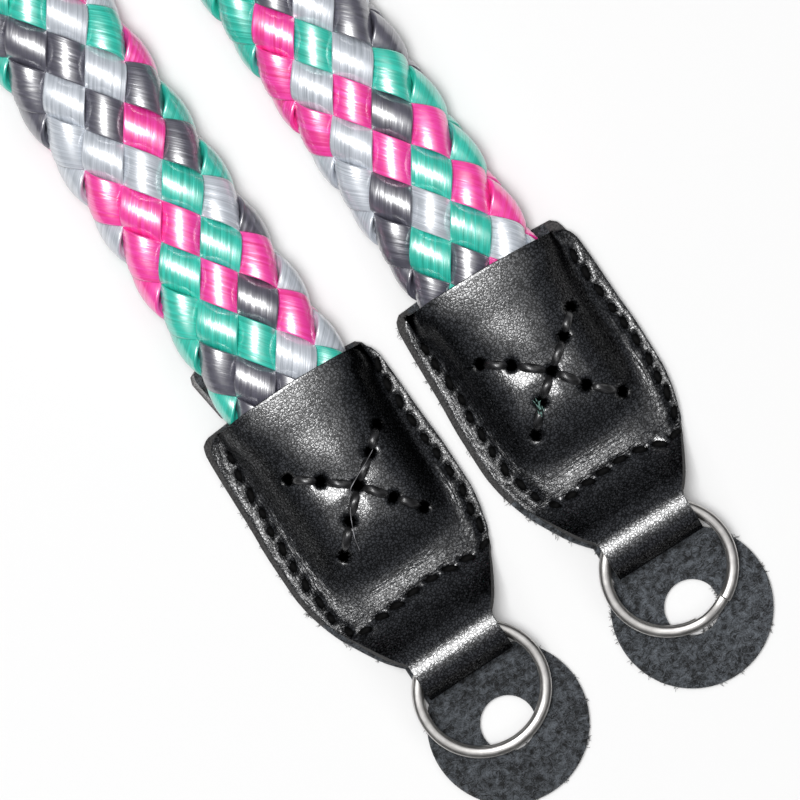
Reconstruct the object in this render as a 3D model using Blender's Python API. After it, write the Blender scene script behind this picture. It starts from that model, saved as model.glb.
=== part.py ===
"""A camera neck strap: a flat braid of twelve yarns with a leather tab, a split ring and a disc at each end.

The strap lies on the surface z = 0 as one long loop. Both ends point to -Y, end a at -X and end b at +X.
Lengths are in metres. A station is a distance from the centre of a disc towards the braid, along +Y.
"""

import math

import bmesh
import bpy
from mathutils import Matrix, Vector
from mathutils.geometry import interpolate_bezier

MM = 0.001

# The two ends
END_X = {"a": -15.5 * MM, "b": 15.5 * MM}
END_TURN_DEG = {"a": 1.2, "b": 0.0}
FRONT_SHIFT = {"a": -0.3 * MM, "b": 0.3 * MM}
BACK_SHIFT = {"a": -1.0 * MM, "b": -0.5 * MM}
DOME_SHIFT = {"a": 0.5 * MM, "b": -0.8 * MM}
LEATHER = 1.2 * MM
GAP = 0.3 * MM
DISC_RADIUS = 11.6 * MM
DISC_SIDE_STEPS = 14
HOLE_RADIUS = 4.0 * MM
HOLE_STEPS = 32
FOLD_CENTRE = 13.3 * MM
FOLD_RADIUS = 4.4 * MM
FOLD_STEPS = 8
NECK_START = 14.5 * MM
TAIL_END = 26.0 * MM
TONGUE_END = 66.5 * MM
TONGUE_CORNER = 1.5 * MM
TONGUE_FOOT = 1.0 * MM
TONGUE_SIDES = {"a": (-10.6 * MM, 9.4 * MM), "b": (-10.0 * MM, 9.0 * MM)}
DOME_ANGLES_DEG = (90.0, 68.0, 48.0, 31.0, 16.0, 4.0)
DOME_FOOT = 1.0 * MM
DOME_FOOT_BEND = (0.25, 0.22)

# The braid
BRAID_WIDTH = 19.7 * MM
BRAID_HEIGHT = 11.0 * MM
SQUARENESS = 2.5
OVAL_STEPS = 360
BRAID_END = 27.5 * MM
YARNS_EACH_WAY = 6
CROSSING_PITCH = 4.835 * MM
RELIEF = 0.9 * MM

# The split rings
RING_RADIUS = 10.0 * MM
WIRE_WIDTH = 1.5 * MM
WIRE_HEIGHT = 0.85 * MM
TURN_GAP = 0.1 * MM
RAMP_DEG = 30.0
SPLIT_GAP_DEG = 3.0
RING_STEPS = 32
WIRE_CORNERS = 8
HINGE_TO_CENTRE = 7.2 * MM
RING_STATION = {"a": 6.1 * MM, "b": 6.4 * MM}
RING_SHIFT = {"a": -0.4 * MM, "b": 0.1 * MM}
RING_SPLIT_DEG = {"a": 78.0, "b": -61.0}

SMOOTH_DEG = 40.0

# Half the outline of a tab: station, half width. The fold has the first width.
TAB_OUTLINE = (
    (14.5, 7.0),
    (15.6, 8.0),
    (17.0, 9.1),
    (18.8, 10.2),
    (20.6, 11.2),
    (23.4, 12.6),
    (26.3, 13.6),
    (29.0, 14.25),
    (32.0, 14.6),
    (38.0, 14.65),
    (43.4, 14.4),
    (55.0, 14.0),
    (56.8, 13.5),
    (57.5, 12.7),
)

# The braid's section in and near a tab: station, width, height, height of its underside over the surface.
BRAID_SECTIONS = (
    (27.5, 15.0, 3.2, 1.5),
    (31.0, 18.0, 5.0, 1.5),
    (36.0, 19.2, 6.4, 1.5),
    (42.0, 19.7, 7.0, 1.5),
    (50.0, 19.7, 7.8, 1.5),
    (57.5, 19.7, 8.6, 1.5),
    (64.5, 19.7, 9.4, 1.5),
    (76.0, 19.7, 10.4, 0.3),
    (88.0, 19.7, 11.0, 0.0),
)

# The inside of the front leather: station, height at its edges, height at its centre, half width of the dome.
FRONT_SECTIONS = (
    (14.5, 9.1, 9.1, 5.0),
    (16.2, 8.0, 8.1, 5.6),
    (18.0, 6.1, 6.6, 6.6),
    (19.8, 4.2, 5.1, 7.6),
    (21.6, 2.7, 3.9, 8.4),
    (23.4, 1.8, 3.3, 9.0),
    (25.2, 1.5, 3.8, 9.4),
    (27.5, 1.5, 5.2, 9.8),
    (31.0, 1.5, 6.95, 10.1),
    (36.0, 1.5, 8.3, 10.25),
    (42.0, 1.5, 8.9, 10.25),
    (49.5, 1.5, 9.7, 10.25),
    (55.0, 1.5, 10.25, 10.25),
    (56.8, 1.5, 10.43, 10.25),
    (57.5, 1.5, 10.5, 10.25),
)

# The braid's course: x and station of each knot, direction from +Y towards +X, length of its two handles.
COURSE = (
    (-15.9, 27.5, -1.2, 0.0, 10.0),
    (-16.6, 62.0, -1.4, 10.0, 24.0),
    (-19.0, 138.0, -2.5, 24.0, 100.0),
    (-98.0, 327.0, 0.0, 74.0, 54.0),
    (0.0, 424.5, 90.0, 54.0, 54.0),
    (98.0, 327.0, 180.0, 54.0, 76.0),
    (12.2, 120.0, 178.4, 106.0, 20.0),
    (14.8, 62.0, 177.6, 20.0, 10.0),
    (15.6, 27.5, 179.0, 10.0, 0.0),
)
COURSE_STEPS = 48


def clear_scene():
    for found in list(bpy.data.objects):
        bpy.data.objects.remove(found, do_unlink=True)


def material(name, colour, roughness, metallic=0.0):
    made = bpy.data.materials.new(name)
    made.use_nodes = True
    shader = made.node_tree.nodes["Principled BSDF"]
    shader.inputs["Base Color"].default_value = (*colour, 1.0)
    shader.inputs["Roughness"].default_value = roughness
    shader.inputs["Metallic"].default_value = metallic
    return made


def add_object(name, work, finish, parent=None):
    """Make an object of a finished bmesh."""
    mesh = bpy.data.meshes.new(name)
    work.to_mesh(mesh)
    work.free()
    mesh.materials.append(finish)
    made = bpy.data.objects.new(name, mesh)
    bpy.context.scene.collection.objects.link(made)
    made.parent = parent
    return made


def add_empty(name, place, parent=None):
    made = bpy.data.objects.new(name, None)
    made.location = place
    made.empty_display_size = 5 * MM
    made.parent = parent
    bpy.context.scene.collection.objects.link(made)
    return made


def table_value(table, column, station):
    """Read a column of a table in mm, whose first column rises, between its rows."""
    at = station / MM
    if at <= table[0][0]:
        return table[0][column] * MM
    for low, high in zip(table, table[1:]):
        if at <= high[0]:
            part = (at - low[0]) / (high[0] - low[0])
            return (low[column] + (high[column] - low[column]) * part) * MM
    return table[-1][column] * MM


def braid_course():
    """The centre line of the braid, as points with y counted in stations."""
    line = []
    for first, second in zip(COURSE, COURSE[1:]):
        knots = []
        for x, y, turn, handle in (
            (first[0], first[1], first[2], first[4]),
            (second[0], second[1], second[2], -second[3]),
        ):
            knot = Vector((x, y, 0.0)) * MM
            ahead = Vector((math.sin(math.radians(turn)), math.cos(math.radians(turn)), 0.0))
            knots.append((knot, knot + ahead * handle * MM))
        points = interpolate_bezier(knots[0][0], knots[0][1], knots[1][1], knots[1][0], COURSE_STEPS)
        line.extend(points[1:] if line else points)
    return line


def even_stations(line, pitch):
    """Points a pitch apart along a line, each with its direction and its distance from the start."""
    lengths = [0.0]
    for first, second in zip(line, line[1:]):
        lengths.append(lengths[-1] + (second - first).length)
    count = round(lengths[-1] / pitch)
    count += count % 2
    found = []
    piece = 0
    for index in range(count + 1):
        wanted = lengths[-1] * index / count
        while piece < len(line) - 2 and lengths[piece + 1] < wanted:
            piece += 1
        span = lengths[piece + 1] - lengths[piece]
        part = (wanted - lengths[piece]) / span
        place = line[piece].lerp(line[piece + 1], part)
        ahead = (line[piece + 1] - line[piece]).normalized()
        found.append((place, ahead, wanted))
    return found, lengths[-1]


def oval(angle, half_width, half_height, squareness):
    """A point of a squared oval, as sideways and upward distances from its centre."""
    power = 2.0 / squareness
    side = math.copysign(abs(math.cos(angle)) ** power, math.cos(angle)) * half_width
    rise = math.copysign(abs(math.sin(angle)) ** power, math.sin(angle)) * half_height
    return side, rise


def even_oval(count, half_width, half_height, squareness):
    """Points of a squared oval at even distances round it, from its right side upward."""
    points = []
    lengths = [0.0]
    for index in range(OVAL_STEPS + 1):
        points.append(oval(2 * math.pi * index / OVAL_STEPS, half_width, half_height, squareness))
        if index:
            lengths.append(lengths[-1] + math.dist(points[-1], points[-2]))
    found = []
    for index in range(count):
        wanted = lengths[-1] * index / count
        step = next(i for i in range(OVAL_STEPS) if lengths[i + 1] > wanted)
        part = (wanted - lengths[step]) / (lengths[step + 1] - lengths[step])
        low, high = points[step], points[step + 1]
        found.append((low[0] + (high[0] - low[0]) * part, low[1] + (high[1] - low[1]) * part))
    return found


def build_braid(base_y, finish):
    """The braid: rings of points where yarns cross, high over a crossing and low between four crossings."""
    stations, length = even_stations(braid_course(), CROSSING_PITCH)
    around = 2 * YARNS_EACH_WAY
    work = bmesh.new()
    rings = []
    for row, (place, ahead, along) in enumerate(stations):
        from_end = BRAID_END + min(along, length - along)
        width = table_value(BRAID_SECTIONS, 1, from_end)
        height = table_value(BRAID_SECTIONS, 2, from_end)
        under = table_value(BRAID_SECTIONS, 3, from_end)
        relief = RELIEF * min(1.0, height / BRAID_HEIGHT)
        high = even_oval(around, width / 2, height / 2, SQUARENESS)
        low = even_oval(around, width / 2 - relief, height / 2 - relief, SQUARENESS)
        sideways = Vector((ahead.y, -ahead.x, 0.0))
        centre = place + Vector((0.0, base_y, under + height / 2))
        ring = []
        for column in range(around):
            side, rise = (high, low)[(row + column) % 2][column]
            ring.append(work.verts.new(centre + sideways * side + Vector((0.0, 0.0, rise))))
        rings.append(ring)
    for row, (first, second) in enumerate(zip(rings, rings[1:])):
        for column in range(around):
            beside = (column + 1) % around
            corners = (first[column], first[beside], second[beside], second[column])
            if (row + column) % 2:
                work.faces.new((corners[0], corners[1], corners[2]))
                work.faces.new((corners[0], corners[2], corners[3]))
            else:
                work.faces.new((corners[0], corners[1], corners[3]))
                work.faces.new((corners[1], corners[2], corners[3]))
    for ring in (rings[0], rings[-1]):
        work.faces.new(ring)
    bmesh.ops.recalc_face_normals(work, faces=work.faces)
    return add_object("braided_rope", work, finish)


def front_rows():
    """The course of the front leather's inside: station, and heights at its edges and its centre, in order from
    the mouth over the fold to the end of the tail."""
    rows = []
    for station, edge, crown, dome in reversed(FRONT_SECTIONS):
        rows.append((station * MM, edge * MM, crown * MM, dome * MM))
    inner = FOLD_RADIUS - LEATHER
    middle = LEATHER + GAP + FOLD_RADIUS
    dome = FRONT_SECTIONS[0][3] * MM
    for step in range(FOLD_STEPS + 1):
        angle = math.pi / 2 + math.pi * step / FOLD_STEPS
        height = middle + inner * math.sin(angle)
        rows.append((FOLD_CENTRE + inner * math.cos(angle), height, height, dome))
    tail = middle - inner
    for station in ((FOLD_CENTRE + TAIL_END) / 2, TAIL_END):
        rows.append((station, tail, tail, dome))
    return rows


def dome_profile(half_width, edge, crown, dome):
    """Half of a cross-section of the front leather's inside, from its centre to its edge."""
    rise = crown - edge
    points = []
    for degrees in DOME_ANGLES_DEG:
        side, lift = oval(math.radians(degrees), dome, 0.5, SQUARENESS)
        points.append((side, edge + rise * (0.5 + lift)))
    foot = min(DOME_FOOT, (half_width - dome) / 2)
    points.append((dome + foot * DOME_FOOT_BEND[0], edge + rise * DOME_FOOT_BEND[1]))
    points.append((dome + foot, edge))
    points.append((half_width, edge))
    return points


def build_front(end, guide, finish):
    """The front leather: one strip domed over the braid, folded round the ring and tucked under itself."""
    work = bmesh.new()
    rows = []
    dome_start = FRONT_SECTIONS[0][0] * MM
    dome_length = FRONT_SECTIONS[-1][0] * MM - dome_start
    for index, (station, edge, crown, dome) in enumerate(front_rows()):
        outline = station if index < len(FRONT_SECTIONS) else NECK_START
        half_width = table_value(TAB_OUTLINE, 1, outline)
        drift = DOME_SHIFT[end] * min(1.0, max(0.0, (outline - dome_start) / dome_length))
        left = dome_profile(half_width + drift, edge, crown, dome)
        right = dome_profile(half_width - drift, edge, crown, dome)
        places = [(-side, height) for side, height in reversed(left[1:])] + right
        row = []
        for side, height in places:
            row.append(work.verts.new((FRONT_SHIFT[end] + drift + side, station, height)))
        rows.append(row)
    for first, second in zip(rows, rows[1:]):
        for column in range(len(first) - 1):
            work.faces.new((first[column], first[column + 1], second[column + 1], second[column]))
    bmesh.ops.recalc_face_normals(work, faces=work.faces)
    made = add_object(f"leather_front_{end}", work, finish, guide)
    wall = made.modifiers.new("Leather", "SOLIDIFY")
    wall.thickness = LEATHER
    wall.offset = 1.0
    wall.use_even_offset = True
    return made


def back_outline(end):
    """The outline of the back leather as sideways distances and stations, anticlockwise from the disc's far end."""
    shift = BACK_SHIFT[end]
    join_width = TAB_OUTLINE[0][1] * MM
    points = [(0.0, -DISC_RADIUS)]
    for part in (1, -1):
        side_points = []
        reach = math.pi / 2 + math.acos((join_width + part * shift) / DISC_RADIUS)
        for step in range(1, DISC_SIDE_STEPS + 1):
            angle = reach * step / DISC_SIDE_STEPS
            side_points.append((DISC_RADIUS * math.sin(angle), -DISC_RADIUS * math.cos(angle)))
        for station, half_width in TAB_OUTLINE:
            side_points.append((half_width * MM + part * shift, station * MM))
        tongue = part * TONGUE_SIDES[end][(part + 1) // 2]
        side_points.append((tongue - TONGUE_FOOT, TAB_OUTLINE[-1][0] * MM + GAP))
        side_points.append((tongue, TONGUE_END - TONGUE_CORNER))
        side_points.append((tongue - TONGUE_CORNER, TONGUE_END))
        if part == 1:
            points.extend(side_points)
        else:
            points.extend((-side, station) for side, station in reversed(side_points))
    return points


def add_loop(work, points):
    """Add a closed loop of edges."""
    corners = []
    for side, station in points:
        corners.append(work.verts.new((side, station, 0.0)))
    edges = []
    for first, second in zip(corners, corners[1:] + corners[:1]):
        edges.append(work.edges.new((first, second)))
    return edges


def build_back(end, guide, finish):
    """The back leather: a flat outline with the disc's round hole, pushed up by the leather's thickness."""
    work = bmesh.new()
    hole = []
    for step in range(HOLE_STEPS):
        angle = 2 * math.pi * step / HOLE_STEPS
        hole.append((HOLE_RADIUS * math.cos(angle), HOLE_RADIUS * math.sin(angle)))
    edges = add_loop(work, back_outline(end)) + add_loop(work, hole)
    bmesh.ops.triangle_fill(work, edges=edges, use_beauty=True)
    pushed = bmesh.ops.extrude_face_region(work, geom=work.faces[:])
    moved = [found for found in pushed["geom"] if isinstance(found, bmesh.types.BMVert)]
    bmesh.ops.translate(work, verts=moved, vec=(0.0, 0.0, LEATHER))
    bmesh.ops.recalc_face_normals(work, faces=work.faces)
    return add_object(f"leather_back_{end}", work, finish, guide)


def ring_lean():
    """The angle by which a ring hangs from its fold down to the disc."""
    hinge_height = LEATHER + GAP + FOLD_RADIUS
    far_edge = HINGE_TO_CENTRE + RING_RADIUS
    half_stack = WIRE_HEIGHT + TURN_GAP / 2
    drop = hinge_height - (LEATHER + GAP)
    reach = math.hypot(far_edge, half_stack)
    return math.asin(drop / reach) - math.atan2(half_stack, far_edge)


def build_ring(end, guide, finish):
    """The split ring: two turns of flattened wire, with a ramp where the upper turn drops to the lower one.
    Its origin lies on the line that it swings about, in the middle of the fold."""
    work = bmesh.new()
    mean_radius = RING_RADIUS - WIRE_WIDTH / 2
    level = (WIRE_HEIGHT + TURN_GAP) / 2
    total_deg = 720.0 - RAMP_DEG - SPLIT_GAP_DEG
    count = round(RING_STEPS * total_deg / 360.0)
    sections = []
    for index in range(count + 1):
        swept = total_deg * index / count
        ramp = min(1.0, max(0.0, (swept - 360.0 + RAMP_DEG) / RAMP_DEG))
        height = level * (1.0 - 2.0 * ramp)
        angle = math.radians(RING_SPLIT_DEG[end] + swept)
        outward = Vector((math.cos(angle), math.sin(angle), 0.0))
        section = []
        for corner in range(WIRE_CORNERS):
            turn = 2 * math.pi * (corner + 0.5) / WIRE_CORNERS
            across, rise = oval(turn, WIRE_WIDTH / 2, WIRE_HEIGHT / 2, 2.0)
            scale = 1.0 / math.cos(math.pi / WIRE_CORNERS)
            place = outward * (mean_radius + across * scale)
            section.append(work.verts.new(place + Vector((0.0, -HINGE_TO_CENTRE, height + rise * scale))))
        sections.append(section)
    for first, second in zip(sections, sections[1:]):
        for corner in range(WIRE_CORNERS):
            beside = (corner + 1) % WIRE_CORNERS
            work.faces.new((first[corner], first[beside], second[beside], second[corner]))
    for section in (sections[0], sections[-1]):
        work.faces.new(section)
    bmesh.ops.recalc_face_normals(work, faces=work.faces)
    bmesh.ops.rotate(work, verts=work.verts, matrix=Matrix.Rotation(ring_lean(), 3, "X"))
    hinge_place = (RING_SHIFT[end], RING_STATION[end] + HINGE_TO_CENTRE, LEATHER + GAP + FOLD_RADIUS)
    hinge = add_empty(f"ring_hinge_{end}", hinge_place, guide)
    return add_object(f"split_ring_{end}", work, finish, hinge)


def shade(made):
    made.data.shade_smooth()
    made.data.set_sharp_from_angle(angle=math.radians(SMOOTH_DEG))


def main():
    clear_scene()
    braid = material("braid_fabric", (0.42, 0.24, 0.38), 0.55)
    leather = material("black_leather", (0.012, 0.012, 0.014), 0.42)
    suede = material("black_suede", (0.035, 0.04, 0.05), 0.95)
    steel = material("ring_steel", (0.62, 0.6, 0.58), 0.25, metallic=1.0)

    line = braid_course()
    far_y = max(point.y for point in line) + BRAID_WIDTH / 2
    base_y = -(far_y - DISC_RADIUS) / 2

    build_braid(base_y, braid)
    for end in END_X:
        guide = add_empty(f"strap_end_{end}", (END_X[end], base_y, 0.0))
        guide.rotation_euler.z = math.radians(END_TURN_DEG[end])
        shade(build_front(end, guide, leather))
        shade(build_back(end, guide, suede))
        shade(build_ring(end, guide, steel))


main()
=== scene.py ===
"""The looks of a camera neck strap: satin yarns, stitched black leather, suede discs and split rings.

The strap lies on z = 0. Lengths are in metres. A station is a distance from the centre of a disc towards
the braid, along the end's own Y. A turn is a place round the braid, in sixths of its way round from its top.
"""

import math
import random

import bmesh
import bpy
import numpy as np
from mathutils import Matrix, Vector
from mathutils.bvhtree import BVHTree
from mathutils.geometry import interpolate_bezier


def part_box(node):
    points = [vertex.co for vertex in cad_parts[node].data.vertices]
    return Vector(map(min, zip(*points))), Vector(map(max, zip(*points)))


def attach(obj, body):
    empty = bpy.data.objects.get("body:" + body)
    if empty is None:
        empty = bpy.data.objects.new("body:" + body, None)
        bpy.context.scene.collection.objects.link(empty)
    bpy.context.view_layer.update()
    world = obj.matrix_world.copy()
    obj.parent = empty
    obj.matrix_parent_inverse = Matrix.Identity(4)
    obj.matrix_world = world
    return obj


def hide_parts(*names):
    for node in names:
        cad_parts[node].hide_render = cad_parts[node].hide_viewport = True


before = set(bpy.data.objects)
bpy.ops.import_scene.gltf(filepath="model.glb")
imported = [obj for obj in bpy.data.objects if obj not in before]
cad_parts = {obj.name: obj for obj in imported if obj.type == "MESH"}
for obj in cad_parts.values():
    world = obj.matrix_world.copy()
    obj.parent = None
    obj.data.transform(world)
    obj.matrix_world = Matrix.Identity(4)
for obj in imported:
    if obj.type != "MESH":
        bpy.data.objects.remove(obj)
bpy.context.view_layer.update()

bl_info = {
    "name": "Camera neck strap",
    "version": (1, 0, 0),
    "blender": (4, 5, 0),
    "location": "3D View > Sidebar > Neck strap",
    "description": "Builds the visible braid, leather, stitches and rings of a camera neck strap",
    "category": "Add Mesh",
}

MM = 0.001

# The two ends, as in the solids
ENDS = ("a", "b")
END_X = {"a": -15.5 * MM, "b": 15.5 * MM}
END_TURN_DEG = {"a": 1.2, "b": 0.0}
FRONT_SHIFT = {"a": -0.3 * MM, "b": 0.3 * MM}
BACK_SHIFT = {"a": -1.0 * MM, "b": -0.5 * MM}
DOME_SHIFT = {"a": 0.5 * MM, "b": -0.8 * MM}
LEATHER = 1.2 * MM
GAP = 0.3 * MM
DISC_RADIUS = 11.6 * MM
HOLE_RADIUS = 4.0 * MM
FOLD_CENTRE = 13.3 * MM
FOLD_RADIUS = 4.4 * MM
HINGE_HEIGHT = LEATHER + GAP + FOLD_RADIUS
TAIL_END = 26.0 * MM
BASE_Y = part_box("leather_back_b")[0].y + DISC_RADIUS

# Half the outline of a tab: station, half width, in mm.
TAB_OUTLINE = (
    (14.5, 7.0),
    (15.6, 8.0),
    (17.0, 9.1),
    (18.8, 10.2),
    (20.6, 11.2),
    (23.4, 12.6),
    (26.3, 13.6),
    (29.0, 14.25),
    (32.0, 14.6),
    (38.0, 14.65),
    (43.4, 14.4),
    (55.0, 14.0),
    (56.8, 13.5),
    (57.5, 12.7),
)
TAB_START, TAB_END = TAB_OUTLINE[0][0] * MM, TAB_OUTLINE[-1][0] * MM

# The braid's section: station, width, height, height of its underside over the surface, in mm.
BRAID_SECTIONS = (
    (27.5, 15.0, 3.2, 1.5),
    (31.0, 18.0, 5.0, 1.5),
    (36.0, 19.2, 6.4, 1.5),
    (42.0, 19.7, 7.0, 1.5),
    (50.0, 19.7, 7.8, 1.5),
    (57.5, 19.7, 8.6, 1.5),
    (64.5, 19.7, 9.4, 1.5),
    (76.0, 19.7, 10.4, 0.3),
    (88.0, 19.7, 11.0, 0.0),
)

# The inside of the front leather, in mm: station, height at its edges and centre, half width of the dome.
FRONT_SECTIONS = (
    (14.5, 9.1, 9.1, 5.0),
    (16.2, 8.0, 8.1, 5.6),
    (18.0, 6.1, 6.6, 6.6),
    (19.8, 4.2, 5.1, 7.6),
    (21.6, 2.7, 3.9, 8.4),
    (23.4, 1.8, 3.05, 8.4),
    (25.2, 1.5, 2.95, 8.4),
    (27.3, 1.5, 3.35, 8.5),
    (29.0, 1.5, 4.1, 8.5),
    (31.2, 1.5, 5.7, 8.6),
    (33.5, 1.5, 7.1, 8.7),
    (36.5, 1.5, 8.2, 8.8),
    (42.0, 1.5, 8.9, 8.9),
    (49.5, 1.5, 9.7, 9.2),
    (55.0, 1.5, 10.25, 10.25),
    (56.8, 1.5, 10.43, 10.25),
    (57.5, 1.5, 10.5, 10.25),
)

# The braid's course, in mm: x and station of each knot, direction in degrees from +Y towards +X, and the
# lengths of its two handles.
COURSE = (
    (-15.9, 27.5, -1.2, 0.0, 10.0),
    (-16.6, 62.0, -1.4, 10.0, 24.0),
    (-19.0, 138.0, -2.5, 24.0, 100.0),
    (-98.0, 327.0, 0.0, 74.0, 54.0),
    (0.0, 424.5, 90.0, 54.0, 54.0),
    (98.0, 327.0, 180.0, 54.0, 76.0),
    (12.2, 120.0, 178.4, 106.0, 20.0),
    (14.8, 62.0, 177.6, 20.0, 10.0),
    (15.6, 27.5, 179.0, 10.0, 0.0),
)
COURSE_STEPS = 200
BRAID_END = 27.5 * MM

# The yarns: six lean one way and six the other. Their colours follow each other round the braid.
LEAD = 58.02 * MM
YARNS_EACH_WAY = 6
RISING_COLOURS = ("teal", "teal", "grey", "silver", "silver", "pink")
FALLING_COLOURS = ("pink", "silver", "grey", "grey", "teal", "pink")
RISING_OFFSET = 0.12
FALLING_OFFSET = -0.15
HIDDEN_START = 120 * MM
HIDDEN_EXTRA = 1.875
HIDDEN_DRIFT = -0.875
MID_HALF_WIDTH = 8.1 * MM
MID_HALF_HEIGHT = 3.7 * MM
SQUARENESS = 2.5

# The seam round each tab: sideways distance and station of points along it, in mm.
SEAM = {
    "a": (
        (-12.0, 54.9), (-12.4, 49.7), (-12.9, 43.6), (-13.2, 37.6), (-13.25, 32.5), (-12.95, 28.4),
        (-12.3, 25.0), (-11.1, 22.1), (-8.2, 22.4), (-5.0, 22.8), (0.4, 23.1), (6.5, 22.95), (9.6, 22.85),
        (11.6, 23.2), (12.3, 27.6), (13.1, 32.2), (12.85, 37.0), (12.4, 43.0), (12.35, 49.0), (12.8, 54.2),
    ),
    "b": (
        (-12.7, 53.0), (-12.2, 48.0), (-12.1, 44.4), (-12.3, 38.0), (-12.2, 31.6), (-11.6, 28.2),
        (-10.4, 25.5), (-8.9, 22.6), (-5.0, 22.7), (-1.9, 23.1), (1.3, 23.4), (3.8, 23.1), (6.4, 22.6),
        (9.4, 22.0), (11.7, 22.4), (12.9, 26.4), (13.6, 32.0), (13.8, 36.0), (13.2, 42.0), (12.6, 48.0),
        (12.6, 52.7),
    ),
}

# The holes of the crossed stitches, in mm, along the two arms of each cross.
CROSS = {
    "a": (
        ((-6.9, 46.3), (-3.2, 43.5), (0.9, 40.1), (4.2, 35.9), (7.0, 32.4)),
        ((7.9, 45.8), (4.9, 43.1), (0.9, 40.1), (-2.9, 36.5), (-6.3, 32.8)),
    ),
    "b": (
        ((-7.2, 45.4), (-3.5, 42.9), (0.9, 39.2), (4.0, 34.9), (7.9, 31.3)),
        ((8.0, 45.4), (5.0, 42.5), (0.9, 39.2), (-2.8, 36.2), (-5.8, 32.7)),
    ),
}

# The cut edge at each tab's mouth: sideways distance and station, in mm.
MOUTH = {
    "a": ((-14.5, 56.5), (-8.0, 57.45), (0.7, 57.6), (9.2, 57.1), (14.5, 55.9)),
    "b": ((-14.5, 56.4), (-8.7, 56.75), (0.0, 56.7), (8.4, 56.2), (14.5, 55.2)),
}


# ---------------------------------------------------------------- settings


def length_setting(name, description, default):
    """A setting that is a length in metres."""
    return bpy.props.FloatProperty(name=name, description=description, default=default, unit="LENGTH")


def colour_setting(name, description, *default):
    """A setting that is a colour."""
    return bpy.props.FloatVectorProperty(
        name=name, description=description, default=default, size=3, subtype="COLOR")


class StrapBraidSettings(bpy.types.PropertyGroup):
    yarn_width: length_setting("Yarn width", "Width of one flattened yarn", 5.6 * MM)
    yarn_thickness: length_setting("Yarn thickness", "Thickness of a yarn in its middle", 1.35 * MM)
    yarn_rise: length_setting("Rise", "How far a yarn rises over the yarn that it crosses", 1.4 * MM)
    pink: colour_setting("Pink", "Colour of the pink yarns", 1.0, 0.006, 0.24)
    teal: colour_setting("Teal", "Colour of the teal yarns", 0.0, 0.43, 0.31)
    silver: colour_setting("Silver", "Colour of the silver yarns", 0.39, 0.43, 0.48)
    grey: colour_setting("Grey", "Colour of the dark grey yarns", 0.045, 0.044, 0.066)
    pink_sheen: colour_setting("Pink sheen", "Colour of their palest filaments", 1.0, 0.065, 0.5)
    teal_sheen: colour_setting("Teal sheen", "Colour of their palest filaments", 0.03, 0.68, 0.54)
    silver_sheen: colour_setting("Silver sheen", "Colour of their palest filaments", 0.64, 0.68, 0.75)
    grey_sheen: colour_setting("Grey sheen", "Colour of their palest filaments", 0.115, 0.112, 0.15)


class StrapLeatherSettings(bpy.types.PropertyGroup):
    grain_size: length_setting("Grain", "Distance between the pebbles of the grain", 0.48 * MM)
    leather: colour_setting("Leather", "Colour of the smooth side", 0.021, 0.0225, 0.026)
    suede: colour_setting("Suede", "Colour of the flesh side", 0.031, 0.0345, 0.039)
    edge: colour_setting("Cut edge", "Colour of the cut edges", 0.042, 0.041, 0.041)


class StrapStitchSettings(bpy.types.PropertyGroup):
    pitch: length_setting("Pitch", "Distance from one seam stitch to the next", 3.0 * MM)
    seam_thread: length_setting("Seam thread", "Thickness of the seam's thread", 1.05 * MM)
    cross_thread: length_setting("Cross thread", "Width of the flat thread of the crosses", 1.35 * MM)
    thread: colour_setting("Thread", "Colour of the waxed thread", 0.012, 0.012, 0.013)
    loose: colour_setting("Loose thread", "Colour of the loose threads", 0.16, 0.16, 0.17)
    fleck: colour_setting("Fleck", "Colour of the tuft caught in a stitch", 0.075, 0.135, 0.12)


class StrapRingSettings(bpy.types.PropertyGroup):
    radius: length_setting("Radius", "Outer radius of a split ring", 10.0 * MM)
    wire_width: length_setting("Wire width", "Width of the wire seen from above", 1.65 * MM)
    wire_height: length_setting("Wire height", "Height of one turn of the wire", 0.85 * MM)
    steel: colour_setting("Steel", "Colour of the plated steel", 0.6, 0.585, 0.57)


class StrapStudioSettings(bpy.types.PropertyGroup):
    camera_height: length_setting("Camera height", "Height of the camera over the surface", 1.2)
    frame_width: length_setting("Frame width", "Width of the surface that the picture shows", 114.1 * MM)
    roll: bpy.props.FloatProperty(
        name="Roll", description="Turn of the picture round the camera's axis",
        default=math.radians(32.25), subtype="ANGLE")
    softbox: bpy.props.FloatProperty(
        name="Softbox", description="Strength of the overhead softbox in watts", default=24.0)
    surround: bpy.props.FloatProperty(
        name="Surround", description="Brightness of the surroundings", default=0.05)


# ---------------------------------------------------------------- meshes


WELD_DISTANCE = 0.0005 * MM


def finished(work, name):
    """The mesh of a bmesh, which is then freed."""
    mesh = bpy.data.meshes.new(name)
    work.to_mesh(mesh)
    work.free()
    return mesh


def mesh_points(mesh):
    flat = np.empty(len(mesh.vertices) * 3)
    mesh.vertices.foreach_get("co", flat)
    return flat.reshape(-1, 3)


def grid_index(part, steps):
    return np.rint(part * steps).astype(int)


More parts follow.
